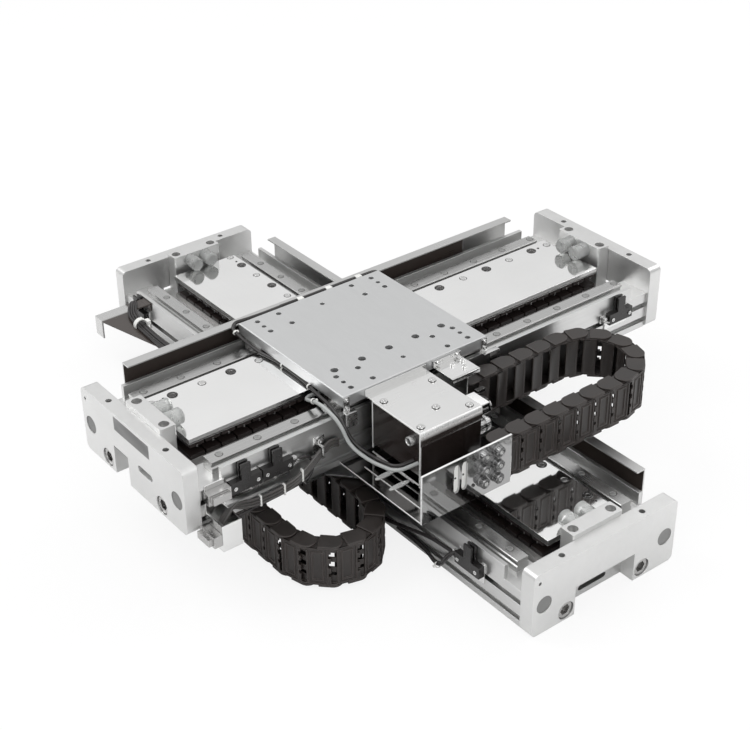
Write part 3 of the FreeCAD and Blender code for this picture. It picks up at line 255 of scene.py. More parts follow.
def metal(name, colour, rough, lines, line_share=0.08, bump=0.06, spread=0.08, edge=0.0007, metallic=1.0,
          blotch=0.06, painted_edge_highlight=0.25):
    """A worked metal: lines is how much each direction is stretched, so the largest are across the lines."""
    made = bpy.data.materials.new(name)
    made.use_nodes = True
    tree = made.node_tree
    shader = tree.nodes["Principled BSDF"]
    tone = place_group(tree, grain, {"Stretch": lines}).outputs["Tone"]
    marks = place_group(tree, clouds, {"Scale": 9.0}).outputs["Mask"]
    edge_round_and_highlight = place_group(tree, edges, {"Width": edge})
    dark = [c * (1 - line_share) for c in colour]
    light = [min(1.0, c * (1 + line_share)) for c in colour]
    marked = node(tree, "ShaderNodeMix", {0: tone, 6: (*dark, 1), 7: (*light, 1)}, data_type="RGBA")
    touched = [c * (1 - blotch) for c in colour]
    share = node(tree, "ShaderNodeMath", {0: marks, 1: 0.5}, operation="MULTIPLY")
    cloudy = node(tree, "ShaderNodeMix", {0: share.outputs[0], 6: marked.outputs[2], 7: (*touched, 1)},
                  data_type="RGBA")
    # painted highlight: the edge mask mixes the base colour towards near-white along the rounded edges
    bright = node(tree, "ShaderNodeMath", {0: edge_round_and_highlight.outputs["Mask"], 1: painted_edge_highlight}, operation="MULTIPLY")
    tipped = node(tree, "ShaderNodeMix", {
        0: bright.outputs[0], 6: cloudy.outputs[2], 7: PAINTED_EDGE_HIGHLIGHT}, data_type="RGBA")
    tree.links.new(tipped.outputs[2], shader.inputs["Base Color"])
    uneven = node(tree, "ShaderNodeMath", {0: tone, 1: marks}, operation="ADD")
    finish = node(tree, "ShaderNodeMapRange", {
        "Value": uneven.outputs[0], "From Min": SMOOTHEST_AT, "From Max": ROUGHEST_AT,
        "To Min": max(0.02, rough - spread), "To Max": rough + spread})
    tree.links.new(finish.outputs[0], shader.inputs["Roughness"])
    relief = node(tree, "ShaderNodeBump", {"Strength": bump, "Distance": 0.001, "Height": tone,
                                           "Normal": edge_round_and_highlight.outputs["Normal"]})
    tree.links.new(relief.outputs[0], shader.inputs["Normal"])
    shader.inputs["Metallic"].default_value = metallic
    return made


def coated(thing, material):
    """Give a piece one finish."""
    thing.data.materials.clear()
    thing.data.materials.append(material)
    return thing


def finish_nodes(material, *names):
    """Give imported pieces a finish."""
    for name in names:
        coated(nodes[name], material)


# %% Finish the metal pieces
ALONG = {"lower": (5, 420, 420), "upper": (420, 5, 420)}
EVEN = (160, 160, 160)
for axis in ALONG:
    finish_nodes(metal(axis + " extrusion", (0.66, 0.66, 0.655), 0.36, ALONG[axis], 0.10), axis + "_base")
    finish_nodes(metal(axis + " ground rail", (0.50, 0.50, 0.495), 0.24, ALONG[axis], 0.12),
                 axis + "_rail_near", axis + "_rail_far")
    finish_nodes(metal(axis + " polished way", (0.88, 0.88, 0.875), 0.07, ALONG[axis], 0.02, 0.01, 0.03),
                 axis + "_way_top")
    finish_nodes(metal(axis + " yoke", (0.40, 0.39, 0.385), 0.35, ALONG[axis], 0.10), axis + "_way_bottom")
    finish_nodes(metal(axis + " block steel", (0.34, 0.335, 0.33), 0.32, ALONG[axis]), axis + "_blocks")
finish_nodes(
    metal("milled plate", (0.70, 0.70, 0.695), 0.42, (90, 90, 90), 0.05, 0.05, metallic=0.9),
    "lower_plate_left", "lower_plate_right", "upper_plate_front", "upper_plate_rear",
    "lower_stopper_left", "lower_stopper_right", "upper_stopper_front", "upper_stopper_rear",
)
finish_nodes(metal("milled table", (0.60, 0.605, 0.607), 0.44, (30, 260, 260), 0.04, 0.05, metallic=0.85),
             "lower_table", "upper_table")
finish_nodes(metal("bright sheet", (0.80, 0.80, 0.795), 0.22, (240, 12, 240), 0.05),
             "lower_chain_anchor", "lower_chain_hanger", "upper_stand", "upper_chain_tab", "upper_box_cover",
             "lower_sensor_brackets", "upper_sensor_brackets")
finish_nodes(metal("shelf sheet", (0.26, 0.255, 0.25), 0.10, (12, 240, 240), 0.05, 0.02, 0.04), "upper_shelf")
finish_nodes(metal("polished sheet", (0.50, 0.50, 0.50), 0.07, EVEN, 0.02, 0.01, 0.03), "upper_gland_plate")
finish_nodes(metal("screw steel", (0.46, 0.455, 0.45), 0.26, EVEN, painted_edge_highlight=0.5),
             "lower_screws", "upper_screws")
finish_nodes(metal("nickel", (0.46, 0.455, 0.45), 0.30, EVEN, 0.06, painted_edge_highlight=0.4),
             "upper_glands", "upper_round_connectors", "upper_flat_connectors")
print(len(bpy.data.materials), "finishes")

# %% [markdown]
# ## Guards and tray
#
# The guards and the tray are bent from bright sheet, and part of each is painted dark in its finish: on the
# guards' inner faces a painted dark reflection, on the tray a painted shadow. The dark colour is kept to a
# stretch of the piece by its place and, on the guards, to the inner side by the way that the face looks. The
# places are in metres.

# %% A helper for painted shade
SHADE_FADE = 0.002


def paint_shade_patch(material, colour, bounds, facing=None):
    """Paint shade into a finish: a dull dark second colour between two corners, on faces that look one way if
    that is given.
    """
    tree = material.node_tree
    shader = tree.nodes["Principled BSDF"]
    where = node(tree, "ShaderNodeTexCoord")
    place = node(tree, "ShaderNodeSeparateXYZ", {0: where.outputs["Object"]})
    masks = []
    for letter, (low, high) in zip("XYZ", bounds):
        for limit, fade in ((low, SHADE_FADE), (high, -SHADE_FADE)):
            if limit is not None:
                side = node(tree, "ShaderNodeMapRange", {
                    "Value": place.outputs[letter], "From Min": limit - fade, "From Max": limit + fade})
                masks.append(side.outputs[0])
    if facing is not None:
        turned = node(tree, "ShaderNodeVectorMath", {0: where.outputs["Normal"], 1: facing},
                      operation="DOT_PRODUCT")
        inward = node(tree, "ShaderNodeMapRange", {
            "Value": turned.outputs["Value"], "From Min": 0.5, "From Max": 0.8})
        masks.append(inward.outputs[0])
    share = masks[0]
    for mask in masks[1:]:
        share = node(tree, "ShaderNodeMath", {0: share, 1: mask}, operation="MULTIPLY").outputs[0]
    before = shader.inputs["Base Color"].links[0].from_socket
    both = node(tree, "ShaderNodeMix", {0: share, 6: before, 7: (*colour, 1)}, data_type="RGBA")
    tree.links.new(both.outputs[2], shader.inputs["Base Color"])
    shine = shader.inputs["Metallic"]
    bare = shine.links[0].from_socket if shine.links else shine.default_value
    dull = node(tree, "ShaderNodeMix", {0: share, 2: bare, 3: 0.0}, data_type="FLOAT")
    tree.links.new(dull.outputs[0], shine)
    return material


# %% Paint shade into the guards and the tray
# the dark colour of the shade painted on the guards and the tray
PAINTED_SHADE = (0.046, 0.037, 0.033)
ANYWHERE = (None, None)
UPPER_PAINTED_REFLECTION = (ANYWHERE, (None, 0.262), (None, 0.1965))
LOWER_PAINTED_REFLECTION = ((0.16, None), ANYWHERE, (None, 0.094))
TRAY_PAINTED_SHADOW = (((-0.3945, -0.20), ANYWHERE, ANYWHERE), ((None, -0.39), (-0.156, None), ANYWHERE))
# on the guards' inner faces the painted shade is a painted dark reflection
for axis, marked, inward in (("upper", UPPER_PAINTED_REFLECTION, (1, 0, 0)), ("lower", LOWER_PAINTED_REFLECTION, (0, -1, 0))):
    guard = metal(axis + " guard sheet", (0.60, 0.60, 0.595), 0.34, ALONG[axis], 0.08)
    finish_nodes(paint_shade_patch(guard, PAINTED_SHADE, marked, inward), axis + "_guard")
tray = metal("tray sheet", (0.62, 0.62, 0.615), 0.28, (12, 240, 240), 0.06)
# the tray's two dark zones are a painted shadow
for marked in TRAY_PAINTED_SHADOW:
    paint_shade_patch(tray, PAINTED_SHADE, marked)
finish_nodes(tray, "lower_tray")
print("guards and tray lined")

# %% [markdown]
# ## Plastics, resin and urethane
#
# The chains, the sensors and the coil are dark moulded plastic with a fine pebbled skin. One even dark grey
# would look like a hole in the picture, so handling marks are paler, the edges carry a painted highlight, and
# the skin is a small bump.
# The bumpers are cast urethane, clear but not quite clean, so light goes through them and blurs.

# %% The recipe for moulded plastic


def plastic(name, colour, rough, skin=900.0, relief=0.15, pale=1.35, edge=0.0005, edge_highlight_share=0.5, edge_highlight_gain=2.4):
    """A moulded plastic: pale is how much handling lightens it, and the edge gain is how much a painted
    highlight lightens its edges.
    """
    made = bpy.data.materials.new(name)
    made.use_nodes = True
    tree = made.node_tree
    shader = tree.nodes["Principled BSDF"]
    marks = place_group(tree, clouds, {"Scale": 22.0}).outputs["Mask"]
    edge_round_and_highlight = place_group(tree, edges, {"Width": edge})
    height = place_group(tree, pebble, {"Scale": skin}).outputs["Height"]
    handled = [c * pale for c in colour]
    # painted highlight: the rounded edges are mixed towards a lighter colour of the plastic
    highlight_edge_colour = [min(1, c * edge_highlight_gain) for c in colour]
    base = node(tree, "ShaderNodeMix", {0: marks, 6: (*colour, 1), 7: (*handled, 1)}, data_type="RGBA")
    share = node(tree, "ShaderNodeMath", {0: edge_round_and_highlight.outputs["Mask"], 1: edge_highlight_share}, operation="MULTIPLY")
    tipped = node(tree, "ShaderNodeMix", {0: share.outputs[0], 6: base.outputs[2], 7: (*highlight_edge_colour, 1)},
                  data_type="RGBA")
    tree.links.new(tipped.outputs[2], shader.inputs["Base Color"])
    finish = node(tree, "ShaderNodeMapRange", {
        "Value": marks, "To Min": rough - 0.06, "To Max": rough + 0.08})
    tree.links.new(finish.outputs[0], shader.inputs["Roughness"])
    skinned = node(tree, "ShaderNodeBump", {"Strength": relief, "Distance": 0.0004, "Height": height,
                                            "Normal": edge_round_and_highlight.outputs["Normal"]})
    tree.links.new(skinned.outputs[0], shader.inputs["Normal"])
    return made


# %% Finish the plastic and rubber pieces
chain_plastic = plastic("chain plastic", (0.017, 0.0137, 0.0124), 0.44, pale=1.6, edge=0.0011, edge_highlight_share=0.8,
                        edge_highlight_gain=6.5)
sensor_plastic = plastic("sensor plastic", (0.012, 0.011, 0.011), 0.30, skin=1500)
coil_resin = plastic("coil resin", (0.022, 0.019, 0.018), 0.38, skin=400)
magnet_coating = plastic("magnet coating", (0.020, 0.015, 0.014), 0.34, skin=700)
box_paint = plastic("box paint", (0.016, 0.012, 0.011), 0.16, skin=300, relief=0.04)
grey_plug = plastic("grey plug", (0.16, 0.16, 0.158), 0.5)
grey_jacket = plastic("grey jacket", (0.32, 0.33, 0.325), 0.42, skin=260)
black_jacket = plastic("black jacket", (0.020, 0.018, 0.018), 0.36, skin=260)
for axis in ALONG:
    finish_nodes(chain_plastic, *[axis + "_chain_" + part for part in ("bend", "fixed", "moving")])
    finish_nodes(sensor_plastic, axis + "_sensors")
    finish_nodes(coil_resin, axis + "_coil")
    finish_nodes(magnet_coating, axis + "_magnets")
    finish_nodes(grey_plug, axis + "_plugs")
    finish_nodes(black_jacket, axis + "_sensor_lead")
finish_nodes(box_paint, "upper_box")
finish_nodes(grey_jacket, "upper_table_cable")
finish_nodes(black_jacket, "upper_table_lead")
print(len(bpy.data.materials), "finishes")

# %% Clear urethane
urethane = bpy.data.materials.new("clear urethane")
urethane.use_nodes = True
tree = urethane.node_tree
shader = tree.nodes["Principled BSDF"]
marks = place_group(tree, clouds, {"Scale": 60.0}).outputs["Mask"]
tint = node(tree, "ShaderNodeMix", {0: marks, 6: (0.60, 0.61, 0.60, 1), 7: (0.74, 0.75, 0.74, 1)},
            data_type="RGBA")
tree.links.new(tint.outputs[2], shader.inputs["Base Color"])
haze = node(tree, "ShaderNodeMapRange", {"Value": marks, "To Min": 0.24, "To Max": 0.42})
tree.links.new(haze.outputs[0], shader.inputs["Roughness"])
shader.inputs["Transmission Weight"].default_value = 0.62
shader.inputs["IOR"].default_value = 1.45
finish_nodes(urethane, "lower_bumpers", "upper_bumpers")
print("pieces without a finish:", [name for name, piece in nodes.items() if len(piece.data.materials) != 1])

# %% [markdown]
# ## The cable chains
#
# A cable chain is one moulded link, made again and again. Each link has a pair of side plates that overlap
# the next link's like scales, a ribbed outer wall that nearly fills the pitch, and a narrower inner bar.
# Behind each joint a tongue closes the gap, except for three small windows. An array along a curve could
# repeat the link, but it would bend each one. So one link is modelled at the origin, and stiff copies of it
# are set along the two straight runs and round the bend.

# %% Helpers for modelling by hand


def fresh():
    """Leave edit mode and deselect everything."""
    if bpy.context.object and bpy.context.object.mode != "OBJECT":
        bpy.ops.object.mode_set(mode="OBJECT")
    bpy.ops.object.select_all(action="DESELECT")


def box(low, high):
    """A cube primitive, sized and placed by its two corners, with its transform applied."""
    fresh()
    low, high = Vector(low), Vector(high)
    bpy.ops.mesh.primitive_cube_add(size=1, location=(low + high) / 2)
    bpy.context.object.scale = high - low
    bpy.ops.object.transform_apply(location=True, rotation=True, scale=True)
    return bpy.context.object


def disc(centre, radius, depth, axis="Z", sides=24):
    """A cylinder primitive along an axis, with its transform applied."""
    fresh()
    turn = {"Z": (0, 0, 0), "X": (0, math.pi / 2, 0), "Y": (math.pi / 2, 0, 0)}[axis]
    bpy.ops.mesh.primitive_cylinder_add(
        vertices=sides, radius=radius, depth=depth, location=centre, rotation=turn)
    bpy.ops.object.transform_apply(location=True, rotation=True, scale=True)
    return bpy.context.object


def pick_faces(thing, test):
    """Enter edit mode with only the faces that pass the test selected."""
    bpy.ops.object.mode_set(mode="EDIT")
    bpy.ops.mesh.select_mode(type="FACE")
    bpy.ops.mesh.select_all(action="DESELECT")
    bpy.ops.object.mode_set(mode="OBJECT")
    for face in thing.data.polygons:
        face.select = bool(test(face))
    bpy.ops.object.mode_set(mode="EDIT")


def any_face(face):
    """Passes every face."""
    return True


def looks_up(face):
    """Passes the faces on top."""
    return face.normal.z > 0.9


def steps(thing, test, moves):
    """Inset the picked faces again and again, each time by a width and a depth, and leave edit mode."""
    pick_faces(thing, test)
    for width, depth in moves:
        bpy.ops.mesh.inset(thickness=width, depth=depth)
    bpy.ops.object.mode_set(mode="OBJECT")
    return thing


def bevelled(thing, width, segments=2, angle=35):
    """Break the sharp edges with a modifier, and apply it."""
    fresh()
    bpy.context.view_layer.objects.active = thing
    thing.select_set(True)
    bevel = thing.modifiers.new("bevel", "BEVEL")
    bevel.width = width
    bevel.segments = segments
    bevel.limit_method = "ANGLE"
    bevel.angle_limit = math.radians(angle)
    bpy.ops.object.modifier_apply(modifier=bevel.name)
    return thing


def cut_by(thing, tool):
    """Take one shape out of another with a modifier, and delete the tool."""
    fresh()
    bpy.context.view_layer.objects.active = thing
    thing.select_set(True)
    cut = thing.modifiers.new("cut", "BOOLEAN")
    cut.object = tool
    bpy.ops.object.modifier_apply(modifier=cut.name)
    bpy.data.objects.remove(tool)
    return thing


def joined(name, things):
    """Join several objects into one, with smooth shading up to 35 degrees."""
    fresh()
    for thing in things:
        thing.select_set(True)
    bpy.context.view_layer.objects.active = things[0]
    if len(things) > 1:
        bpy.ops.object.join()
    made = bpy.context.object
    made.name = made.data.name = name
    bpy.ops.object.shade_smooth_by_angle(angle=math.radians(35))
    return made


def remove(*things):
    """Delete shapes that were only there to be copied."""
    for thing in things:
        bpy.data.objects.remove(thing)


# %% Model one link: x along the chain, y away from the bend's middle, z up
PITCH, THICK, HIGH = 0.033, 0.026, 0.065
EAR, WALL = 0.003, 0.0025
PANEL_END, RIM_START, RIM_END = 0.0124, 0.0118, 0.0158
TONGUE_START, TONGUE_END, TONGUE_LOW, TONGUE_TOP = 0.0110, 0.0236, 0.0058, 0.0042
BETWEEN_WINDOWS = ((-0.0295, -0.0150), (-0.0092, -0.0012), (0.0068, 0.0142), (0.0215, 0.0295))
WALL_RIBS = ((0.0022, 0), (0.0005, -0.0019), (0.0030, 0), (0.0005, 0.0017), (0.0016, 0), (0.0005, -0.0018))
BAR_HALF, BAR_HOLLOW = 0.0095, ((0.0026, 0), (0.0006, -0.0008))


def ear(pivot, level, side):
    """A side plate: a disc round the pivot, cut in half there and drawn out to the link's middle."""
    plate = disc((pivot, 0, level), THICK / 2, EAR, sides=28)
    pick_faces(plate, any_face)
    bpy.ops.mesh.bisect(plane_co=(pivot, 0, 0), plane_no=(side, 0, 0), clear_inner=True, use_fill=True)
    bpy.ops.object.mode_set(mode="OBJECT")
    pick_faces(plate, lambda face: face.normal.x * side < -0.9)
    reach = PITCH / 2 + 0.001
    bpy.ops.mesh.extrude_region_move(TRANSFORM_OT_translate={"value": (-side * reach, 0, 0)})
    bpy.ops.object.mode_set(mode="OBJECT")
    return bevelled(plate, 0.0006, 1)


def outer_wall(up):
    """The outer wall: a panel with square ribs inside one another, and a rim with three windows beside it."""
    outside = THICK / 2
    panel = box((-RIM_END, outside - WALL, -HIGH / 2 + EAR), (PANEL_END, outside, HIGH / 2 - EAR))
    steps(panel, lambda face: face.normal.y > 0.9, WALL_RIBS)
    pieces = [bevelled(panel, 0.0004, 1)]
    for low, high in BETWEEN_WINDOWS:
        low, high = sorted((low * up, high * up))
        rim = box((RIM_START, outside - WALL, low), (RIM_END, outside, high))
        tongue = box((TONGUE_START, outside - TONGUE_LOW, low), (TONGUE_END, outside - TONGUE_TOP, high))
        pieces += [rim, tongue]
    return pieces


def inner_bar():
    """The narrower bar on the inner side, slightly hollow."""
    bar = box((-BAR_HALF, -THICK / 2, -HIGH / 2 + EAR), (BAR_HALF, -THICK / 2 + WALL, HIGH / 2 - EAR))
    steps(bar, lambda face: face.normal.y < -0.9, BAR_HOLLOW)
    return bevelled(bar, 0.0005, 1)


def model_link(up):
    """A whole link at the origin: up is 1 or -1, for a chain that turns one way or the other."""
    half = PITCH / 2
    top, under = HIGH / 2 - EAR / 2, HIGH / 2 - EAR * 1.5
    pieces = outer_wall(up) + [inner_bar()]
    for sign in (1, -1):
        pieces.append(ear(half, sign * top, 1))
        pieces.append(ear(-half, sign * under, -1))
    return joined("link", pieces)


# %% Where the chains lie
ORIGIN = {"lower": Vector((0, 0, 0)), "upper": Vector((0.052, 0.005, 0.1025))}
TO_WORLD = {
    "lower": Matrix.Identity(4),
    "upper": Matrix.Translation(ORIGIN["upper"]) @ Matrix.Rotation(math.pi / 2, 4, "Z"),
}
CHAIN_LOW = 0.005
# the middle of each bend in metres in its axis's own frame, and the way that it turns
BENDS = {"lower": (0.207, -0.221, 1), "upper": (0.188, -0.20995, -1)}
RUNS = {"lower": {"moving": 4, "fixed": 6}, "upper": {"moving": 5, "fixed": 7}}
BEND_LINKS = 6
HALF_STEP = math.radians(90 / BEND_LINKS)
JOINT_RADIUS = PITCH / 2 / math.sin(HALF_STEP)
print("the joints of a bend lie on a circle of %.1f mm" % (1000 * JOINT_RADIUS))


def link_at(x, y, along, out, turn_z):
    """The place of one link: where its middle is, and which ways its own x, y and z point."""
    z = CHAIN_LOW + HIGH / 2
    return Matrix(((along[0], out[0], 0, x), (along[1], out[1], 0, y), (0, 0, turn_z, z), (0, 0, 0, 1)))


def chain_places(axis, part):
    """Where each link of a run or of the bend stands, in the axis's own frame."""
    x, y, hand = BENDS[axis]
    places = []
    if part == "bend":
        reach = JOINT_RADIUS * math.cos(HALF_STEP)
        for step in range(BEND_LINKS):
            angle = math.radians(-90 + (step + 0.5) * 180 / BEND_LINKS) * hand
            out = (math.cos(angle), math.sin(angle))
            along = (-hand * out[1], hand * out[0])
            places.append(link_at(x + reach * out[0], y + reach * out[1], along, out, -hand))
        return places
    side = -hand if part == "moving" else hand
    ahead = 1 if part == "moving" else -1
    y += side * JOINT_RADIUS
    for step in range(RUNS[axis][part]):
        places.append(link_at(x - (step + 0.5) * PITCH, y, (ahead, 0), (0, side), -hand))
    return places


# %% Copy the link along the runs and round the bends
def chain_piece(axis, part, link):
    """Copies of the link on their places, joined into one piece that stands for the plain one."""
    copies = []
    for place in chain_places(axis, part):
        copy = link.copy()
        copy.data = link.data.copy()
        bpy.context.collection.objects.link(copy)
        copy.data.transform(TO_WORLD[axis] @ place)
        if (TO_WORLD[axis] @ place).determinant() < 0:
            copy.data.flip_normals()
        copies.append(copy)
    made = coated(joined("%s_%s_links" % (axis, part), copies), chain_plastic)
    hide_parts("%s_chain_%s" % (axis, part))
    print(made.name, "has", len(made.data.polygons), "faces")
    return made


BASE_BODY = {"lower": "lower_axis", "upper": "lower_carriage"}
TABLE_BODY = {"lower": "lower_carriage", "upper": "upper_carriage"}
for axis in ALONG:
    base, table = BASE_BODY[axis], TABLE_BODY[axis]
    x, y, hand = BENDS[axis]
    link = model_link(-hand)
    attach(chain_piece(axis, "bend", link), axis + "_chain_bend")
    for part, near, far in (("fixed", base, table), ("moving", table, base)):
        run = chain_piece(axis, part, link)
        length = RUNS[axis][part] * PITCH
        first = TO_WORLD[axis] @ Vector((x - length, y, 0))
        last = TO_WORLD[axis] @ Vector((x + length, y, 0))
        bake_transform(run)
    remove(link)

# %% [markdown]
# ## Screws and caps
#
# Most small round things on a machine are the same few parts in several sizes: a socket head screw, a pan
# head screw with a cross, and the cap that fills a rail's counterbore. Each is modelled once, with a radius
# and a height of 1, standing on the origin. Copies are stretched to size, turned the way that they face, and
# joined into one piece for each finish and body, so the list of pieces stays short.
#
# From here on, places are in millimetres. A pair such as COVER_HEAD is a radius and a height. A row such as
# those of FLAGS is a box: its low corner, its high corner, and the width of its broken edges.

# %% Places in millimetres
FACING = {"up": (0, 0, 1), "near": (1, 0, 0), "front": (0, -1, 0), "rear": (0, 1, 0)}


def spot(axis, x, y, z):
    """A point given in millimetres from the middle of an axis's underside, x and y as the world's."""
    return ORIGIN[axis] + Vector((x, y, z)) / 1000


def on_axis(axis, along, across, level):
    """The same, given by how far the point is along the axis and across it."""
    return spot(axis, along, across, level) if axis == "lower" else spot(axis, across, along, level)


def block(axis, low, high, edge):
    """A box between two such points, with broken edges."""
    return bevelled(box(spot(axis, *low), spot(axis, *high)), edge / 1000, 2)


def blocks(axis, rows):
    """Several boxes, each given by its corners and the width of its broken edges."""
    return [block(axis, low, high, edge) for low, high, edge in rows]


# %% The shapes, modelled once
def stepped_disc(sides, moves):
    """A disc of radius and height 1 on the origin, with steps in its top."""
    return steps(disc((0, 0, 0.5), 1, 1, sides=sides), looks_up, moves)


def knurled(thing, teeth, width, depth):
    """Raise or sink every other face round the side of a disc with twice as many sides as teeth."""
    def is_tooth(face):
        turned = math.atan2(face.center.y, face.center.x) * teeth / math.pi
        return abs(face.normal.z) < 0.1 and int(turned) % 2

    pick_faces(thing, is_tooth)
    bpy.ops.mesh.inset(thickness=width, depth=depth, use_individual=True)
    bpy.ops.object.mode_set(mode="OBJECT")
    return thing


socket_head = cut_by(disc((0, 0, 0.5), 1, 1, sides=20), disc((0, 0, 0.95), 0.5, 0.9, sides=6))
bevelled(socket_head, 0.10, 1, 50)

cross_head = cut_by(disc((0, 0, 0.5), 1, 1, sides=20), box((-0.62, -0.13, 0.45), (0.62, 0.13, 1.4)))
cut_by(cross_head, box((-0.13, -0.62, 0.45), (0.13, 0.62, 1.4)))
bevelled(cross_head, 0.18, 2, 50)

rail_cap = bevelled(stepped_disc(24, ((0.10, 0), (0.04, -0.7), (0.12, 0), (0.04, 0.6))), 0.05, 1, 50)
bore_ring = stepped_disc(24, ((0.14, 0), (0.03, -0.8)))
print("shapes:", [len(shape.data.polygons) for shape in (socket_head, cross_head, rail_cap, bore_ring)])


# %% Helpers that set a shape on its places
def stamp(shape, point, facing, size, height):
    """A copy of a shape, standing on a point, with its radius and height in millimetres."""
    copy = shape.copy()
    copy.data = shape.data.copy()
    bpy.context.collection.objects.link(copy)
    turn = Vector(FACING.get(facing, facing)).to_track_quat("Z", "Y").to_matrix().to_4x4()
    scale = Matrix.Diagonal((size / 1000, size / 1000, height / 1000, 1))
    copy.data.transform(Matrix.Translation(point) @ turn @ scale)
    return copy


def stamps(shape, places, facing, size, height):
    """Copies of a shape on several places of the upper axis."""
    return [stamp(shape, spot("upper", *place), facing, size, height) for place in places]


def gather(name, things, material, body):
    """Join copies and boxes into one finished piece that rides on a body."""
    made = coated(joined(name, things), material)
    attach(made, body)
    print(name, "has", len(made.data.polygons), "faces")
    return made


# %% Finishes of the small parts
bright_steel = metal("bright steel", (0.66, 0.66, 0.655), 0.24, EVEN, 0.08, edge=0.0003)
folded_edge = metal("folded edge", (0.82, 0.82, 0.815), 0.32, EVEN, 0.06, edge=0.0003, metallic=0.35)
head_steel = metal("oiled head", (0.10, 0.097, 0.095), 0.24, EVEN, 0.10, edge=0.0005, painted_edge_highlight=0.6)
dark_steel = metal("black oxide", (0.045, 0.043, 0.042), 0.30, EVEN, 0.10, edge=0.0004, painted_edge_highlight=0.5)
cap_grey = metal("cap grey", (0.33, 0.33, 0.325), 0.34, EVEN, 0.06, edge=0.0005, metallic=0.8)
white_nylon = plastic("white nylon", (0.72, 0.72, 0.70), 0.42, skin=500, pale=1.1)
print(len(bpy.data.materials), "finishes")

# %% Screws of the magnet ways
WAY_TOP = 80
# how far across the axis, the pitch, the outermost deep screw and the outermost dowel
WAY_ROWS = {"lower": (57, 87.0, 402.5, 436), "upper": (-52.5, 91.7, 321, 353)}
DEEP_BORE, FLUSH_BORE, PIN_BORE = (7.4, 0.5), (5.9, 0.15), (2.0, 0.3)
WAY_HEAD, DOWEL, PIN_INWARD = (5.6, 0.9), (5.0, 0.4), 18
for axis, (across, pitch, first, last) in WAY_ROWS.items():
    deep, flush = [], []
    place = first
    while place > 0:
        deep += [place, -place]
        flush += [place - pitch / 2, pitch / 2 - place]
        place -= pitch
    flush = sorted({round(v, 1) for v in flush}) + [last, -last]
    bores, heads, dowels = [], [], []
    for along in deep:
        point = on_axis(axis, along, across, WAY_TOP)
        bores.append(stamp(bore_ring, point, "up", *DEEP_BORE))
        heads.append(stamp(socket_head, point + Vector((0, 0, 0.0001)), "up", *WAY_HEAD))
    for along in flush:
        point = on_axis(axis, along, across, WAY_TOP)
        bores.append(stamp(bore_ring, point, "up", *FLUSH_BORE))
        dowels.append(stamp(rail_cap, point, "up", *DOWEL))
    for along in (last - PIN_INWARD, PIN_INWARD - last):
        bores.append(stamp(bore_ring, on_axis(axis, along, across, WAY_TOP), "up", *PIN_BORE))
    gather(axis + "_way_bores", bores, dark_steel, BASE_BODY[axis])
    gather(axis + "_way_screws", heads, head_steel, BASE_BODY[axis])
    gather(axis + "_way_dowels", dowels, bright_steel, BASE_BODY[axis])

# %% Caps in the rails' counterbores
RAIL_TOP, RAIL_OFFSET, CAP_PITCH = 74, 91, 58.04
# the first cap along the axis, and how many there are on each rail
CAP_ROWS = {"lower": (415.7, 15), "upper": (353.9, 13)}
CAP, CAP_BORE = (4.5, 0.3), (5.4, 0.12)
for axis, (first, count) in CAP_ROWS.items():
    caps, bores = [], []
    for step in range(count):
        for side in (-1, 1):
            point = on_axis(axis, first - step * CAP_PITCH, side * RAIL_OFFSET, RAIL_TOP)
            caps.append(stamp(rail_cap, point, "up", *CAP))
            bores.append(stamp(bore_ring, point, "up", *CAP_BORE))
    gather(axis + "_rail_caps", caps, cap_grey, BASE_BODY[axis])
    gather(axis + "_rail_bores", bores, dark_steel, BASE_BODY[axis])

# %% The pads that hold the magnets apart
MAGNET_PITCH, PAD_HALF, PAD_LOW, PAD_HIGH, PAD_PROUD = 24, 0.9, 64.0, 67.5, 1.006
# how many pads, and how far across the axis the magnets' edge is
PAD_ROWS = {"lower": (36, -48), "upper": (30, 48)}
for axis, (count, edge) in PAD_ROWS.items():
    inner, outer = sorted((edge, edge * PAD_PROUD))
    pads = []
    for step in range(count):
        along = (step - (count - 1) / 2) * MAGNET_PITCH
        pads.append(box(on_axis(axis, along - PAD_HALF, inner, PAD_LOW),
                        on_axis(axis, along + PAD_HALF, outer, PAD_HIGH)))
    gather(axis + "_magnet_pads", pads, bright_steel, BASE_BODY[axis])

# %% [markdown]
# ## The connector box
#
# The box is a dark shell under a bright cover sheet. Pan head screws hold the cover, its outer edge is rolled
# over, and the sheet's thin folded edges show as bright lines at the two front corners. On its rear stand the
# round connectors, with a knurled ring and the hood of an angled plug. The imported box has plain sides, so
# these pieces are laid on it, each a box or a disc at its measured place, instead of modelling it again.

# %% Cover screws and folded edges
CARRIAGE, SHELF_BODY = "upper_carriage", "lower_carriage"
COVER_TOP = 92
COVER_HEAD, COVER_WASHER = (4.8, 2.2), (5.6, 0.4)
COVER_SCREWS = [(x, y, COVER_TOP) for x, y in ((223, -44), (200, -81), (148, -44), (148, -125), (223, -125))]
BOX_EDGES = (
    ((231.6, -135.4, 84.5), (235.4, -32.6, 92.3), 1.4),
    ((136.5, -136.0, 90.2), (233.5, -134.4, 92.2), 0.4),
    ((136.0, -135.6, 18.0), (137.8, -133.6, 91.0), 0.3),
    ((232.8, -135.8, 8.0), (234.6, -133.6, 90.0), 0.3),
    ((136.2, -135.8, 10.5), (234.6, -134.0, 12.2), 0.3),
    ((200.5, -33.4, 88.0), (231.0, -17.0, 90.0), 0.4),
)
heads = stamps(cross_head, COVER_SCREWS, "up", *COVER_HEAD)
washers = stamps(bore_ring, COVER_SCREWS, "up", *COVER_WASHER)
gather("box_cover_screws", heads, bright_steel, CARRIAGE)
gather("box_cover_washers", washers, dark_steel, CARRIAGE)
gather("box_folded_edges", blocks("upper", BOX_EDGES), folded_edge, CARRIAGE)

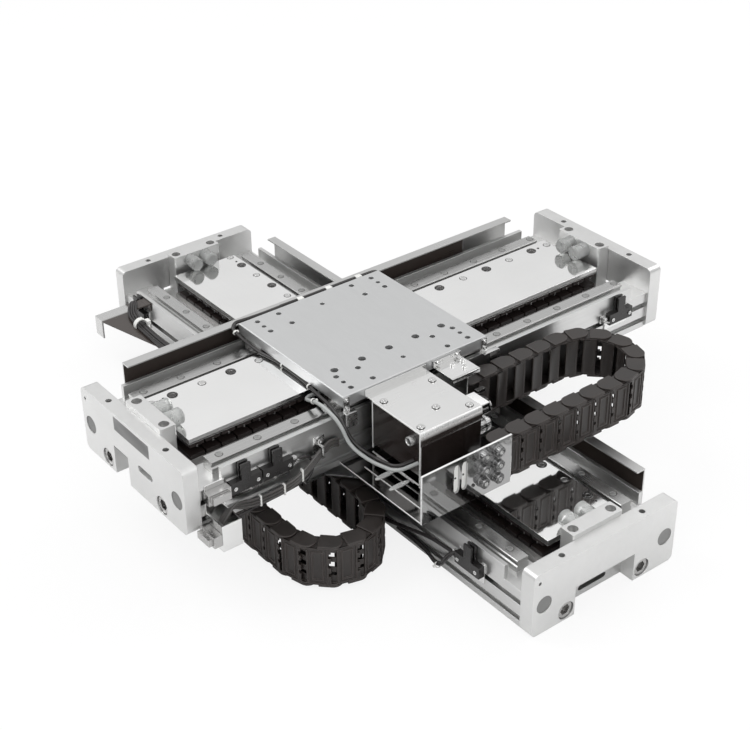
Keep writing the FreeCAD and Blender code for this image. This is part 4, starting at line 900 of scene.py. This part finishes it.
# %% The rolled edge: the outer part of a wide cylinder, cut off along the box's side
ROLL_CENTRE, ROLL_RADIUS, ROLL_LENGTH = (214.4, -84, 80), 0.022, 0.1018
ROLL_CUT, ROLL_SHADOW_TOP, ROLL_PAINTED_SHADOW = 234, 0.1852, (0.030, 0.024, 0.022)
roll = disc(spot("upper", *ROLL_CENTRE), ROLL_RADIUS, ROLL_LENGTH, "Y", 96)
pick_faces(roll, any_face)
bpy.ops.mesh.bisect(
    plane_co=spot("upper", ROLL_CUT, 0, 0), plane_no=(1, 0, 0), clear_inner=True, use_fill=True)
bpy.ops.object.mode_set(mode="OBJECT")
bevelled(roll, 0.0004, 1, 60)
rolled = metal("rolled edge", (0.60, 0.59, 0.58), 0.30, EVEN, 0.05, edge=0.0003, metallic=0.3)
# the roll is painted dark below a height: a painted shadow of the cover's flange
paint_shade_patch(rolled, ROLL_PAINTED_SHADOW, (ANYWHERE, ANYWHERE, (None, ROLL_SHADOW_TOP)))
gather("box_rolled_edge", [roll], rolled, CARRIAGE)

# %% The connectors on its rear, and the small one on its front
RINGS = (
    ((214, -26, 44), "rear", 11.0, 9.0),
    ((214, -12, 44), "rear", 10.4, 5.0),
    ((214, -31, 71), "rear", 10.6, 6.0),
    ((221, -135.2, 77), "front", 6.0, 9.0),
)
ring = knurled(stepped_disc(48, ((0.16, 0), (0.06, -0.12))), 24, 0.02, 0.05)
rings = [stamp(ring, spot("upper", *place), facing, size, height) for place, facing, size, height in RINGS]
gather("connector_rings", rings, bright_steel, CARRIAGE)
remove(ring)

# %% The hood of the angled plug
HOOD_LOW, HOOD_HIGH, HOOD_TOP = (194, -24, 66), (224, -4, 86), (212, -12, 86)
NECK_LOW, NECK_HIGH = (196, -13, 84), (203, 2, 90)
hood = box(spot("upper", *HOOD_LOW), spot("upper", *HOOD_HIGH))
pick_faces(hood, looks_up)
bpy.ops.transform.resize(value=(0.72, 0.62, 1), center_override=spot("upper", *HOOD_TOP))
bpy.ops.object.mode_set(mode="OBJECT")
neck = block("upper", NECK_LOW, NECK_HIGH, 1.2)
gather("plug_hood", [bevelled(hood, 0.003, 3), neck], dark_steel, CARRIAGE)

# %% [markdown]
# ## The shelf's end plate, with its glands
#
# A cable gland is a hexagon that is screwed into the plate, a domed nut, and the cable's own end in the
# middle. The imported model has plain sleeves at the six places. They could be cut into shape one by one. Here
# one detailed gland is made, and six copies stand in their place.

# %% Model a gland and set six of them
GLAND_FIRST, COLUMN_PITCH, ROW_PITCH, COLUMN_DROP = (290, -80, 26.5), 24, 20.5, 3
GLAND_BODY, GLAND_NUT, GLAND_END, END_OUT = (8.6, 9), (8.2, 10), (3.0, 1.6), 0.008
hexagon = bevelled(disc((0, 0, 0.14), 1, 0.28, sides=6), 0.05, 1, 20)
nut = disc((0, 0, 0.55), 0.90, 0.56, sides=24)
steps(nut, looks_up, ((0.10, 0.10), (0.14, 0.05), (0.10, 0), (0.05, -0.12)))
knurled(nut, 12, 0.03, -0.03)
gland_metal = metal("gland metal", (0.19, 0.19, 0.19), 0.24, EVEN, 0.08, edge=0.0006, painted_edge_highlight=0.6)
glands, wires = [], []
x, y, level = GLAND_FIRST
for row in range(3):
    for column in range(2):
        point = spot("upper", x, y + COLUMN_PITCH * column, level + ROW_PITCH * row - COLUMN_DROP * column)
        glands.append(stamp(hexagon, point, "near", *GLAND_BODY))
        glands.append(stamp(nut, point, "near", *GLAND_NUT))
        wires.append(stamp(cross_head, point + Vector((END_OUT, 0, 0)), "near", *GLAND_END))
made = gather("plate_glands", glands, gland_metal, SHELF_BODY)
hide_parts("upper_glands")
gather("gland_ends", wires, bright_steel, SHELF_BODY)
remove(hexagon, nut)

# %% The oval opening beside them
BACKING_LOW, BACKING_HIGH = (286.0, -129.5, 24), (286.9, -101.5, 72)
OVAL_PINS, OVAL_SCREWS = [(286.9, y, 48) for y in (-122, -109)], [(290, -94, level) for level in (66, 26)]
OVAL_PIN, OVAL_HEAD = (1.5, 0.5), (2.2, 1.2)
backing = block("upper", BACKING_LOW, BACKING_HIGH, 0.2)
gather("oval_backing", [backing], white_nylon, SHELF_BODY)
pins = stamps(bore_ring, OVAL_PINS, "near", *OVAL_PIN) + stamps(socket_head, OVAL_SCREWS, "near", *OVAL_HEAD)
gather("oval_pins", pins, dark_steel, SHELF_BODY)

# %% The shelf's folded edges, and the rims of its two slots
SHELF_EDGES = (
    ((287.2, -178.0, 75.6), (289.8, -30.0, 76.6), 0.3),
    ((287.2, -178.6, 3), (289.8, -177.8, 76), 0.2),
    ((121.4, -178.6, 3.6), (287.0, -177.8, 5.2), 0.2),
    ((150.0, -160.0, 4.6), (284.0, -158.4, 5.6), 0.3),
    ((140.0, -132.0, 4.6), (218.0, -130.4, 5.6), 0.3),
)
SLOTS = [(x, -149, 4.7) for x in (181, 210)]
SLOT_STRETCH, SLOT_RIM = 4.2, (4.0, 1.0)
gather("shelf_folded_edges", blocks("upper", SHELF_EDGES), folded_edge, SHELF_BODY)
oval = stepped_disc(28, ((0.35, 0), (0.08, -0.4)))
oval.scale = (1, SLOT_STRETCH, 1)
bpy.ops.object.transform_apply(location=False, rotation=False, scale=True)
bevelled(oval, 0.06, 1, 50)
gather("shelf_slot_rims", stamps(oval, SLOTS, "up", *SLOT_RIM), folded_edge, SHELF_BODY)
remove(oval)

# %% [markdown]
# ## Brackets and flags on the table's near side
#
# Each flag is a thin vane, bent out from the table's side, that passes between the prongs of a sensor at the
# end of the travel. Two screws hold it. The bracket beside it takes the cable chain's moving end. Bent sheet
# could be extruded along its profile. With three straight legs each, thin boxes that meet are simpler.

# %% Flags, their screws, and the bracket's
FLAGS = (
    ((120.1, -170.0, 78), (121.6, -160.5, 101), 0.3),
    ((120.4, -170.6, 78), (128.3, -153.0, 79.4), 0.3),
    ((126.9, -171.0, 58), (128.3, -153.0, 79.0), 0.3),
    ((120.1, 66.0, 78), (121.6, 75.5, 101), 0.3),
    ((120.4, 66.0, 78), (128.3, 93.0, 79.4), 0.3),
    ((126.9, 76.0, 58), (128.3, 94.0, 79.0), 0.3),
    ((159.5, -20.0, 83.5), (162.6, 28.0, 90.6), 1.2),
)
FLAG_SCREWS = [(121.6, y, level) for y, level in ((-165.5, 97), (-165.5, 84), (71, 97), (71, 86))]
EDGE_SCREWS = [(122.3, y, 95) for y in (-13, 21)]
BRACKET_SCREWS = [(x, y, 90) for x, y in ((134, 3), (148, 12), (134, 21))]
FLAG_HEAD, EDGE_HEAD, BRACKET_HEAD = (2.8, 2.4), (3.4, 3.0), (3.6, 3.2)
gather("flags", blocks("upper", FLAGS), bright_steel, CARRIAGE)
screws = stamps(socket_head, FLAG_SCREWS, "near", *FLAG_HEAD)
screws += stamps(socket_head, EDGE_SCREWS, "near", *EDGE_HEAD)
screws += stamps(socket_head, BRACKET_SCREWS, "up", *BRACKET_HEAD)
gather("flag_screws", screws, bright_steel, CARRIAGE)

# %% [markdown]
# ## Sensors, their plugs and leads
#
# A limit sensor is a small black fork that is screwed to the base's T-slot through a bracket. Its lead ends
# in a small plug with bright pins. The leads are gathered into bundles that white nylon ties hold. A lead
# could be drawn by hand as a curve. Here its points are given in millimetres, so that a point which touches a
# wall or a moving piece can be moved by just as much as it needs.

# %% Screws and plugs of the sensors
SENSORS = {"lower": (-425, 382), "upper": (-330, -282, 330)}
TURNED_SENSOR = -282
TOWARDS = {"lower": "front", "upper": "near"}
SCREW_SHIFT, SCREW_LEVEL, SCREW_OUT, SENSOR_HEAD = 17, 46, 132.3, (2.9, 1.6)
PIN_FIRST, PIN_PITCH, PIN_LEVEL, PIN_OUT, PIN = 24, 2.6, 43, 128, (1.3, 4.2)
PLUG_MIDDLE, PLUG_CORNERS = 27.5, ((-4, 40, 129), (4, 51, 123))


def near_side(axis, along, level, out):
    """A point on the near side of an axis: how far along, how high, and how far out from its middle."""
    return on_axis(axis, along, out if axis == "upper" else -out, level)


for axis, places in SENSORS.items():
    heads, plugs = [], []
    for place in places:
        for shift in (-SCREW_SHIFT, SCREW_SHIFT):
            point = near_side(axis, place + shift, SCREW_LEVEL, SCREW_OUT)
            heads.append(stamp(cross_head, point, TOWARDS[axis], *SENSOR_HEAD))
        side = 1 if place == TURNED_SENSOR else -1
        for step in range(4):
            point = near_side(axis, place + side * (PIN_FIRST + PIN_PITCH * step), PIN_LEVEL + step, PIN_OUT)
            plugs.append(stamp(cross_head, point, TOWARDS[axis], *PIN))
        end = place + side * PLUG_MIDDLE
        corners = [near_side(axis, end + along, level, out) for along, level, out in PLUG_CORNERS]
        low, high = zip(*[sorted(pair) for pair in zip(*corners)])
        plugs.append(bevelled(box(low, high), 0.0006, 1))
    gather(axis + "_sensor_screws", heads, bright_steel, BASE_BODY[axis])
    gather(axis + "_sensor_plugs", plugs, bright_steel, BASE_BODY[axis])


# %% A lead laid along fixed points: a bevelled curve made into a mesh
def lead(name, axis, points, width, material, body):
    """A lead that is held along its whole length: a smooth line that follows points, with a round section."""
    fresh()
    curve = bpy.data.curves.new(name, "CURVE")
    curve.dimensions = "3D"
    line = curve.splines.new("NURBS")
    line.points.add(len(points) - 1)
    for point, place in zip(line.points, points):
        point.co = (*spot(axis, *place), 1)
    line.order_u = 3
    line.use_endpoint_u = True
    curve.bevel_depth = width / 2000
    curve.bevel_resolution = 3
    curve.use_fill_caps = True
    held = bpy.data.objects.new(name, curve)
    bpy.context.collection.objects.link(held)
    bpy.context.view_layer.objects.active = held
    held.select_set(True)
    bpy.ops.object.convert(target="MESH")
    return gather(name, [bpy.context.object], material, body)


# %% The lead on the table's side
bundle_jacket = plastic("bundle jacket", (0.055, 0.052, 0.050), 0.34, skin=260, pale=1.6)
TABLE_EDGE, TABLE_LEAD_WIDTH = -124.4, 5
lead("table_side_lead", "upper", [
    (TABLE_EDGE, -96, 101), (TABLE_EDGE, -50, 100.4), (TABLE_EDGE, 0, 100.8), (TABLE_EDGE, 50, 100.2),
    (TABLE_EDGE, 72, 100), (TABLE_EDGE + 1.5, 79, 96), (-118, 79, 90),
], TABLE_LEAD_WIDTH, black_jacket, CARRIAGE)

# %% The leads in the tray, which go down through a grommet
TRAY_LEAD_WIDTH, GROMMET_LOW, GROMMET_HIGH = 4, (-34, -172, 75), (-14, -149, 78)
for step in range(4):
    out, level = -166.5 - 4.2 * step, 77 + 0.8 * (step % 2)
    lead("tray_lead_%d" % (step + 1), "lower", [
        (-446 + 3 * step, -129, 50 + 2 * step), (-424 + 2 * step, -134 - 2 * step, 72 + step),
        (-404, -142 - 4 * step, 79 + step), (-380, out + 8, level + 1.5), (-350, out + 3, level),
        (-320, out, level), (-270, out - 2, level), (-210, out, level), (-160, out, level),
        (-120, out + 6, level), (-84, out + 9, level), (-48, out + 11, level), (-30, out + 12, level - 3),
        (-24, out + 12, 64),
    ], TRAY_LEAD_WIDTH, black_jacket, "lower_axis")
grommet = block("lower", GROMMET_LOW, GROMMET_HIGH, 1.0)
steps(grommet, looks_up, ((0.0025, 0), (0.0006, -0.0012)))
gather("tray_grommet", [grommet], black_jacket, "lower_axis")

# %% The bundles along the upper axis's front and at the lower axis's right end
FRONT_LEAD_WIDTH, RIGHT_LEAD_WIDTH = 4.4, 3.4
for step in range(3):
    over = 4.6 * step
    lead("front_lead_%d" % (step + 1), "upper", [
        (134 + 4 * step, -374, 10), (134 + 4 * step, -368, 18), (135 + 2 * step, -356, 24 + over / 2),
        (133.5, -340, 14 + over), (132.8, -320, 8 + over), (132.8, -290, 7 + over), (132.8, -262, 10 + over),
        (132.8, -240, 20 + over), (132.6, -222, 34 + over), (129, -208, 39 + over), (125, -192, 41 + over),
        (124, -182, 36 + over),
    ], FRONT_LEAD_WIDTH, bundle_jacket, SHELF_BODY)
for step in range(2):
    down = 4 * step
    lead("right_lead_%d" % (step + 1), "lower", [
        (358 - step, -127.5, 52), (352, -133, 49 - down), (346, -136, 40 - 6 * step), (336, -135, 22 - down),
        (320, -132, 14 - down), (296, -125, 14 - down), (270, -123.6, 14 - down), (232, -123.6, 15 - down),
    ], RIGHT_LEAD_WIDTH, black_jacket, "lower_axis")

# %% A tie, modelled once, and the ties round the bundles
TABLE_TIES = (
    ((48, -171.2, 83.5), (32, -6.5, 0.3), 3.4), ((84, -191, 87), (40, -1.6, 15), 3.2),
    ((-18, -167.8, 83.2), (32, 0.5, 0), 3.0), ((-112, -181.2, 95.6), (36, 4, -11), 3.0),
)
TABLE_CLIPS = [((-127.6, y - 5, 97.6), (-119.8, y + 5, 103.4), 1.0) for y in (-62, -12, 42)]
FRONT_TIES = (
    ((130.2, -276.6, 4.6), (135.5, -274.2, 21.6), 0.5),
    ((130.2, -313.2, 4.4), (135.5, -310.8, 20.6), 0.5),
    ((130.4, -248.0, 13.0), (135.5, -245.6, 31.4), 0.5),
)
TRAY_TIES = (
    ((-344, -170.5, 78), (1, -0.05, 0), 8.6), ((-236, -174, 77.6), (1, 0, 0), 8.6),
    ((329, -134.6, 15), (-16, 1, -12), 3.6),
)


def tied(axis, rows):
    """Ties on an axis, each given by its place, the way that the bundle runs, and its inner radius."""
    return [stamp(tie, spot(axis, *place), direction, size, size) for place, direction, size in rows]


tie = cut_by(disc((0, 0, 0), 1.22, 0.9, sides=16), disc((0, 0, 0), 1.0, 1.4, sides=16))
bevelled(tie, 0.05, 1, 50)
latch = bevelled(box((1.1, -0.45, -0.6), (1.9, 0.45, 0.6)), 0.12, 2)
tie = joined("tie", [tie, latch])
on_table = tied("upper", TABLE_TIES) + blocks("upper", TABLE_CLIPS)
gather("table_ties", on_table, white_nylon, CARRIAGE)
gather("front_ties", blocks("upper", FRONT_TIES), white_nylon, SHELF_BODY)
gather("tray_ties", tied("lower", TRAY_TIES), white_nylon, "lower_axis")
remove(tie)

# %% Sheet clamps on the upper axis's near side, each with a screw
CLAMPS = (
    ((121.4, -221, 38), (122.9, -203, 62), 0.4),
    ((122.0, -215.4, 34.2), (135.4, -211.4, 35.4), 0.4),
    ((134.2, -215.4, 34.2), (135.4, -211.4, 52), 0.4),
    ((122.0, -215.4, 50.8), (135.4, -211.4, 52), 0.4),
    ((121.4, 296, 40), (123.2, 314, 52), 0.4),
)
clamps = blocks("upper", CLAMPS)
clamps += stamps(bore_ring, [(122.9, -212, 55)], "near", 6.4, 1.2)
clamps += stamps(socket_head, [(123.6, -212, 55)], "near", 4.0, 2.6)
clamps += stamps(bore_ring, [(123.2, 305, 45)], "near", 6.6, 1.2)
clamps += stamps(socket_head, [(124, 305, 45)], "near", 3.8, 2.6)
gather("side_clamps", clamps, bright_steel, SHELF_BODY)

# %% [markdown]
# ## The plate on the front
#
# The front end plate carries a thin sheet of dark anodised metal. It could be a dark patch in the plate's
# finish, but a sheet has a rim that catches the light, so it is a thin box with broken edges.

# %% The dark plate
PLATE_LOW, PLATE_HIGH = (-41, -416.15, 72), (45.5, -415.6, 93)
anodised = metal("anodised plate", (0.16, 0.16, 0.16), 0.38, (300, 20, 20), 0.08, edge=0.0006, painted_edge_highlight=0.8)
gather("bare_plate", [block("upper", PLATE_LOW, PLATE_HIGH, 0.05)], anodised, SHELF_BODY)

# %% Clear away the shapes that were copied
remove(socket_head, cross_head, rail_cap, bore_ring)

# %% [markdown]
# ## The last lines
#
# The last lines leave edit mode, deselect everything and bring the scene up to date.

# %% Finish
fresh()
bpy.context.view_layer.update()
